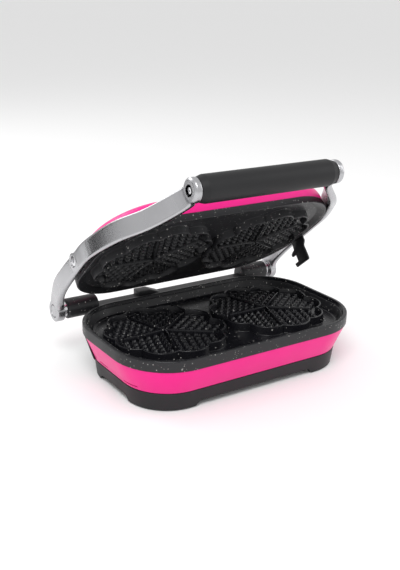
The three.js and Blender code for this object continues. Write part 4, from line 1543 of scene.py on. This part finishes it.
@dataclass
class Arms(SubAssembly):
    """The two cast arms with their hinge and pivot fittings, and the round handle between them."""

    inner: float = 167.5
    hinge_thick: float = 11.0
    end_radius: float = 14.5
    side: float = 175.35
    thick: float = 7.8
    grip: float = 16.4
    grip_half: float = 97.15
    boss: float = 14.6
    boss_long: float = 9.0
    well: float = 9.8
    pivot_boss: float = 10.0
    cap: float = 8.2
    rod: float = 4.0

    def stations(self) -> tuple[list[Vector], list[Vector]]:
        """The sections along the right arm, from hinge to handle.

        Returns:
            tuple: where each section's middle is, and each section's height and thickness.
        """
        hinge, pivot, handle = LAYOUT.hinge, LAYOUT.pivot, LAYOUT.handle
        hinge_x = self.inner + self.hinge_thick / 2
        side_x = self.side + self.thick / 2
        handle_x = self.grip_half + GAP + self.boss_long / 2

        def along(x: float, behind_handle: float, z: float) -> Vector:
            """A place between the lid pivot and the handle."""
            return Vector((x, handle.y + behind_handle, z))

        def inward(share: float) -> float:
            """A place across, on the way in from the lid's side to the handle's end."""
            return side_x + (handle_x - side_x) * share

        def behind(x: float, share: float, z: float) -> Vector:
            """A place between the hinge and the lid pivot."""
            return Vector((x, hinge.y + (pivot.y - hinge.y) * share, z))

        rows = [
            (Vector((hinge_x, hinge.y, hinge.z)), 25, self.hinge_thick),
            (Vector((hinge_x + 1, hinge.y - 16, hinge.z + 11.2)), 25.3, 10.2),
            (behind(side_x - 1.5, 0.37, hinge.z + 16.3), 25.5, 8.6),
            (behind(side_x, 0.68, hinge.z + 16.9), 24.3, self.thick),
            (behind(side_x, 1.0, pivot.z - 2.6), 23.2, self.thick),
            (along(side_x - 2.4, 130.9, hinge.z + 15.7), 23.4, 8.4),
            (along(inward(0.275), 88.9, hinge.z + 13.8), 26, 9.4),
            (along(inward(0.6), 54.2, hinge.z + 8.7), 25.8, 9.6),
            (along(inward(1.015), 18.6, handle.z + 0.3), 24.8, 9),
            (Vector((handle_x, handle.y, handle.z)), 24, 8.6),
        ]
        return [row[0] for row in rows], [Vector((row[1], row[2], 0)) for row in rows]

    def bar(self) -> BMesh:
        """The right arm's bar, swept with its tall side kept upright.

        Returns:
            BMesh: the closed solid.
        """
        places, sizes = (spline(points, 7) for points in self.stations())
        corner = 0.34
        bm = bmesh.new()
        loop = rounded_face(bm, 1, 1, corner, 5)
        up = Vector((0, 0, 1))
        last = len(places) - 1

        def mover(i: int) -> Callable[[Vector], Vector]:
            """Places the section at one step of the sweep."""
            ahead = (places[min(i + 1, last)] - places[max(i - 1, 0)]).normalized()
            across = up.cross(ahead).normalized()
            tallways = ahead.cross(across)
            tall, thick = sizes[i].x, sizes[i].y

            def move(point: Vector) -> Vector:
                """Keeps the corner radius of the thin way."""
                edge = math.copysign((tall - thick) / 2, point.y)
                return places[i] + across * (point.x * thick) + tallways * (point.y * thick + edge)

            return move

        return drawn_out(bm, loop, [mover(i) for i in range(last + 1)], closed=False)

    def arm(self) -> BMesh:
        """The right arm: bar, hinge end, pivot boss and handle end, cast as one.

        Returns:
            BMesh: the casting.
        """
        hinge, pivot, handle = LAYOUT.hinge, LAYOUT.pivot, LAYOUT.handle
        hinge_out = self.inner + self.hinge_thick
        out = self.side + self.thick
        start = self.grip_half + GAP
        end = start + self.boss_long
        at_hinge, at_pivot, at_handle = ((0, point.y, point.z) for point in (hinge, pivot, handle))
        handle_end = [
            (start, 0, 0),
            (start, self.boss, 0.8),
            (end - 2.4, self.boss, 1.5),
            (end, self.boss - 3.2, 0.8),
            (end, 0, 0),
        ]
        solids = [
            turned(disc(self.end_radius, self.inner, hinge_out, 1.2), at_hinge),
            turned(disc(self.pivot_boss, self.side, out + 0.8, 0.8), at_pivot),
            turned(softened(handle_end, steps=4), at_handle),
        ]
        holes = [
            turned(disc(self.cap + GAP, hinge_out - 2.4, hinge_out + 9, 0), at_hinge),
            turned(disc(6.2 + GAP, out - 2.9, out + 9, 0), at_pivot),
            turned(disc(self.well, end - 3, end + 9, 0), at_handle),
            turned(disc(self.rod + GAP, start - 9, end + 9, 0), at_handle, sides=32),
            turned(disc(self.grip + 1.0, 0, start, 0), at_handle),
        ]
        whole = combined(self.bar(), solids, "UNION")
        return cast(combined(whole, holes, "DIFFERENCE"), grain=0.75, passes=3)

    def handle(self) -> BMesh:
        """The round grip with its tapered ends.

        Returns:
            BMesh: the closed solid.
        """
        half, taper = self.grip_half, 9.0
        right = [(0, self.grip, 0), (half - taper, self.grip, 4), (half - 0.6, self.grip - 2.6, 0.8)]
        right += [(half, self.grip - 3.6, 0.5), (half, self.rod + GAP, 0)]
        left = [(-along, radius, soft) for along, radius, soft in reversed(right)]
        section = softened([*left[:-1], *right[1:]], closed=True, steps=6)
        return turned(section, (0, LAYOUT.handle.y, LAYOUT.handle.z), closed=True, sides=80)

    def screw_head(self, radius: float, start: float, end: float, key: float, at: Sequence[float]) -> BMesh:
        """A screw's head with a hexagonal key hole.

        Args:
            radius: the head's radius.
            start: where it starts along X.
            end: its outer face.
            key: the key hole's radius.
            at: a point on its axis.

        Returns:
            BMesh: the closed solid.
        """
        head = turned(disc(radius, start, end, 0.6), at, sides=40)
        hole = turned(disc(key, end - 1.6, end + 4, 0), at, sides=6)
        return combined(head, [hole], "DIFFERENCE")

    def fittings(self, side: str, hand: Callable[[BMesh], BMesh]) -> None:
        """Builds the small fittings of one arm.

        Args:
            side: left or right.
            hand: gives that side's twin of a right-hand solid.
        """
        hinge, pivot, handle = LAYOUT.hinge, LAYOUT.pivot, LAYOUT.handle
        at_hinge, at_pivot, at_handle = ((0, point.y, point.z) for point in (hinge, pivot, handle))
        collar_start = LAYOUT.rim_width / 2 - 8 + GAP
        collar_end = self.inner - GAP
        collar = [
            (collar_start, 5, 0),
            (collar_start, 10.4, 0.5),
            (collar_end, 10.2, 0.9),
            (collar_end, 5, 0),
        ]
        spacer = turned(softened(collar, closed=True, steps=3), at_hinge, closed=True)
        self.piece(f"collar_{side}", hand(spacer), Look.STEEL, "bright_steel", [f"hinge_spacer_{side}"])
        seat = self.inner + self.hinge_thick - 2.4
        cap = turned(disc(self.cap, seat + 0.1, seat + 2.1, 0.8), at_hinge)
        self.piece(f"cap_{side}", hand(cap), Look.ALLOY, "satin_alloy", [f"hinge_cap_{side}"])
        floor = self.side + self.thick - 2.9
        pivot_head = self.screw_head(6.2, floor + 0.1, floor + 2.9, 2.6, at_pivot)
        shown = hand(pivot_head)
        self.piece(f"pivot_head_{side}", shown, Look.STEEL, "bright_steel", [f"pivot_screw_{side}"])
        well = self.grip_half + GAP + self.boss_long - 3
        washer = [(well + 0.1, 3.6, 0), (well + 0.1, 7.5, 0.3), (well + 1.3, 7.2, 0.4), (well + 1.3, 3.6, 0)]
        ring = turned(softened(washer, closed=True, steps=3), at_handle, closed=True)
        # the washer is bright steel, coloured with painted shade of the well it sits in
        self.piece(f"handle_washer_{side}", hand(ring), Look.RECESS, "bright_steel", [f"handle_screw_{side}"])
        head = self.screw_head(4.0, well + 0.4, well + 2.4, 1.4, at_handle)
        self.piece(f"handle_bolt_{side}", hand(head), Look.STEEL, "bright_steel")

    def build(self) -> None:
        """Builds the arms' pieces."""
        arm = self.arm()
        for side, bm in (("left", mirrored(arm)), ("right", arm)):
            self.piece(f"cast_arm_{side}", bm, Look.ALLOY, "satin_alloy", [f"arm_{side}"], sharp=60)
        self.piece("grip", self.handle(), Look.GRIP, "grip_black", ["handle_grip"])
        self.fittings("right", lambda bm: bm)
        self.fittings("left", mirrored)


# ---------------------------------------------------------------- latch


@dataclass
class Latch(SubAssembly):
    """The hook on the lid's right side that holds the machine shut."""

    thick: float = 2.8
    front: float = -11.5
    back: float = 11.5
    foot: float = -38.5
    top: float = 5.0
    tooth: float = 9.0
    notch: float = -26.5
    notch_half: float = 5.2

    def outline(self) -> list[Level]:
        """The latch from the side, from its pivot.

        Returns:
            list: the outline's points, each its place to the rear and up.
        """
        above, below = self.notch + self.notch_half, self.notch - self.notch_half
        tip = self.back + self.tooth
        corners = [
            (self.front, self.foot, 3.4),
            (tip - 1, self.foot + 0.8, 1.2),
            (tip, below, 1.0),
            (self.back, below, 1.6),
            (self.back, above, 1.6),
            (tip, above, 1.2),
            (tip, above + 4.2, 1.8),
            (self.back + 3, above + 7, 2),
            (self.back, above + 7, 1.5),
            (self.back - 3, self.top - 2, 3),
            (self.front - 1, self.top, 3),
            (self.front - 5.5, self.top - 5, 3),
            (self.front - 5.5, self.top - 17, 3),
            (self.front, self.top - 22, 2),
        ]
        return softened(corners, closed=True, steps=4)

    def build(self) -> None:
        """Builds the latch as a flat plate cut to its side outline, with rounded edges."""
        x = LAYOUT.latch.x - self.thick / 2
        shape = [(LAYOUT.latch.y + y, LAYOUT.latch.z + z) for y, z in self.outline()]
        body = rounded(plate_of(shape, x, x + self.thick), 0.5, segments=2, angle=60)
        self.piece("latch_hook", body, Look.BLACK, "black_moulding", ["latch"])


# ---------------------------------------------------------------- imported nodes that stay


PACKED_LOOKS = {
    Look.BLACK: ("lid_chassis", "pivot_bush_left", "pivot_bush_right"),
    Look.STEEL: (
        "hinge_pin_left",
        "hinge_pin_right",
        "handle_rod",
        "latch_pin",
        "base_screw_front_left",
        "base_screw_front_right",
        "base_screw_rear_left",
        "base_screw_rear_right",
        "lower_element",
        "upper_element",
    ),
    Look.SHEET: ("lower_reflector", "upper_reflector"),
    Look.CERAMIC: ("lower_thermostat", "upper_thermostat", "thermal_fuse", "terminal_block"),
}


def dress_packed_nodes() -> None:
    """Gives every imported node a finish: the inner parts keep their shape, and the rest are stood for."""
    named = {node: look for look, nodes in PACKED_LOOKS.items() for node in nodes}
    for name, node in frame["nodes"].items():
        look = named.get(name, Look.BLACK)
        node.data.materials.clear()
        node.data.materials.append(MATERIALS[look])
        log.info("%s: %s", name, look.name.lower())


# ---------------------------------------------------------------- studio


@dataclass
class Studio:
    """A pale floor, soft light and the camera at the product's viewing angle."""

    eye: tuple[float, float, float] = (-0.5890, -0.851542, 0.4789)
    target: tuple[float, float, float] = (0.052304, 0.108956, 0.063763)
    roll: float = 1.243
    lens: float = 53.45
    sky: float = 0.8
    flags: tuple[tuple[float, float, float], ...] = ((-0.37, 0.46, 0.14), (-0.63, 0.22, 0.16))
    flag_tall: float = 0.5
    flag_middle: float = 0.26
    arm_x: float = -0.18

    def camera(self) -> None:
        """Makes the scene's camera."""
        data = bpy.data.cameras.new("camera")
        data.lens = self.lens
        data.sensor_width = 36.0
        data.clip_start, data.clip_end = 0.05, 50.0
        made = bpy.data.objects.new("camera", data)
        bpy.context.scene.collection.objects.link(made)
        back = (Vector(self.eye) - Vector(self.target)).normalized()
        right = Vector((0, 0, 1)).cross(back).normalized()
        up = back.cross(right)
        turn = math.radians(self.roll)
        across = right * math.cos(turn) + up * math.sin(turn)
        upward = up * math.cos(turn) - right * math.sin(turn)
        matrix = Matrix((across, upward, back)).transposed().to_4x4()
        matrix.translation = Vector(self.eye)
        made.matrix_world = matrix
        bpy.context.scene.camera = made

    @staticmethod
    def floor() -> None:
        """Lays the pale floor."""
        bm = bmesh.new()
        bmesh.ops.create_grid(bm, x_segments=1, y_segments=1, size=60.0)
        mesh = bpy.data.meshes.new("floor")
        bm.to_mesh(mesh)
        bm.free()
        pale = bpy.data.materials.new("pale_floor")
        pale.use_nodes = True
        surface = pale.node_tree.nodes["Principled BSDF"]
        surface.inputs["Base Color"].default_value = (0.92, 0.92, 0.92, 1)
        surface.inputs["Roughness"].default_value = 0.9
        mesh.materials.append(pale)
        made = bpy.data.objects.new("floor", mesh)
        bpy.context.scene.collection.objects.link(made)

    @staticmethod
    def lamp(
        name: str, place: Sequence[float], aim: Sequence[float], size: tuple[float, float], power: float
    ) -> None:
        """Hangs a soft rectangular light.

        Args:
            name: its name.
            place: where it hangs.
            aim: the point it shines at.
            size: its two sides.
            power: its power in watts.
        """
        data = bpy.data.lights.new(name, "AREA")
        data.shape = "RECTANGLE"
        data.size, data.size_y = size
        data.energy = power
        made = bpy.data.objects.new(name, data)
        bpy.context.scene.collection.objects.link(made)
        made.location = place
        made.rotation_euler = (Vector(place) - Vector(aim)).to_track_quat("Z", "Y").to_euler()

    def backdrop(self) -> None:
        """Makes the surroundings: white to the camera, dimmer as a light."""
        world = bpy.data.worlds.new("studio")
        world.use_nodes = True
        tree = world.node_tree
        shown = add(tree, "LightPath").outputs["Is Camera Ray"]
        strength = tree.nodes.new("ShaderNodeMix")
        strength.inputs[2].default_value = self.sky
        strength.inputs[3].default_value = 1.0
        tree.links.new(shown, strength.inputs[0])
        surround = tree.nodes["Background"]
        surround.inputs["Color"].default_value = (1, 1, 1, 1)
        tree.links.new(strength.outputs[0], surround.inputs["Strength"])
        bpy.context.scene.world = world

    def flag(self, name: str, x: float, y: float, width: float) -> None:
        """Stands a dark card that only shows as a reflection in the left arm.

        Args:
            name: its name.
            x: where it stands across.
            y: where it stands front to back.
            width: how wide it is.
        """
        facing = math.atan2(-y, self.arm_x - x)
        bm = bmesh.new()
        bmesh.ops.create_grid(bm, x_segments=1, y_segments=1, size=0.5)
        upright = Matrix.Rotation(facing, 4, "Z") @ Matrix.Rotation(math.radians(90), 4, "Y")
        sized = Matrix.Diagonal((self.flag_tall, width, 1, 1))
        matrix = Matrix.Translation((x, y, self.flag_middle)) @ upright @ sized
        bmesh.ops.transform(bm, matrix=matrix, verts=bm.verts[:])
        mesh = bpy.data.meshes.new(name)
        bm.to_mesh(mesh)
        bm.free()
        dark = bpy.data.materials.new(name)
        dark.use_nodes = True
        surface = dark.node_tree.nodes["Principled BSDF"]
        surface.inputs["Base Color"].default_value = (0.01, 0.01, 0.01, 1)
        surface.inputs["Roughness"].default_value = 0.9
        mesh.materials.append(dark)
        made = bpy.data.objects.new(name, mesh)
        made.visible_camera = made.visible_diffuse = made.visible_shadow = False
        bpy.context.scene.collection.objects.link(made)

    def build(self) -> None:
        """Sets up the studio."""
        self.camera()
        self.floor()
        self.backdrop()
        for index, (x, y, width) in enumerate(self.flags):
            self.flag(f"flag_{index}", x, y, width)
        bpy.context.scene.view_settings.view_transform = "Standard"
        middle = (0, 0, 0.12)
        self.lamp("key", (-1.0, -1.2, 2.0), middle, (1.2, 0.9), 30)
        self.lamp("side", (1.6, -0.9, 0.9), middle, (0.8, 1.4), 6)
        self.lamp("rear", (-0.6, 1.6, 1.4), middle, (1.4, 0.8), 10)


# ---------------------------------------------------------------- the machine


def main() -> None:
    """Builds the machine and its studio."""
    logging.basicConfig(level=logging.INFO, format="%(name)s: %(message)s")
    Studio().build()
    dress_packed_nodes()
    assemblies = [
        Base("base", LAYOUT.base),
        Lid("lid", LAYOUT.lid),
        Arms("arms", LAYOUT.lid),
        Latch("latch", LAYOUT.lid),
    ]
    for assembly in assemblies:
        assembly.build()
        log.info("%s: %d pieces", assembly.body, len(assembly.made))


if __name__ == "__main__":
    main()
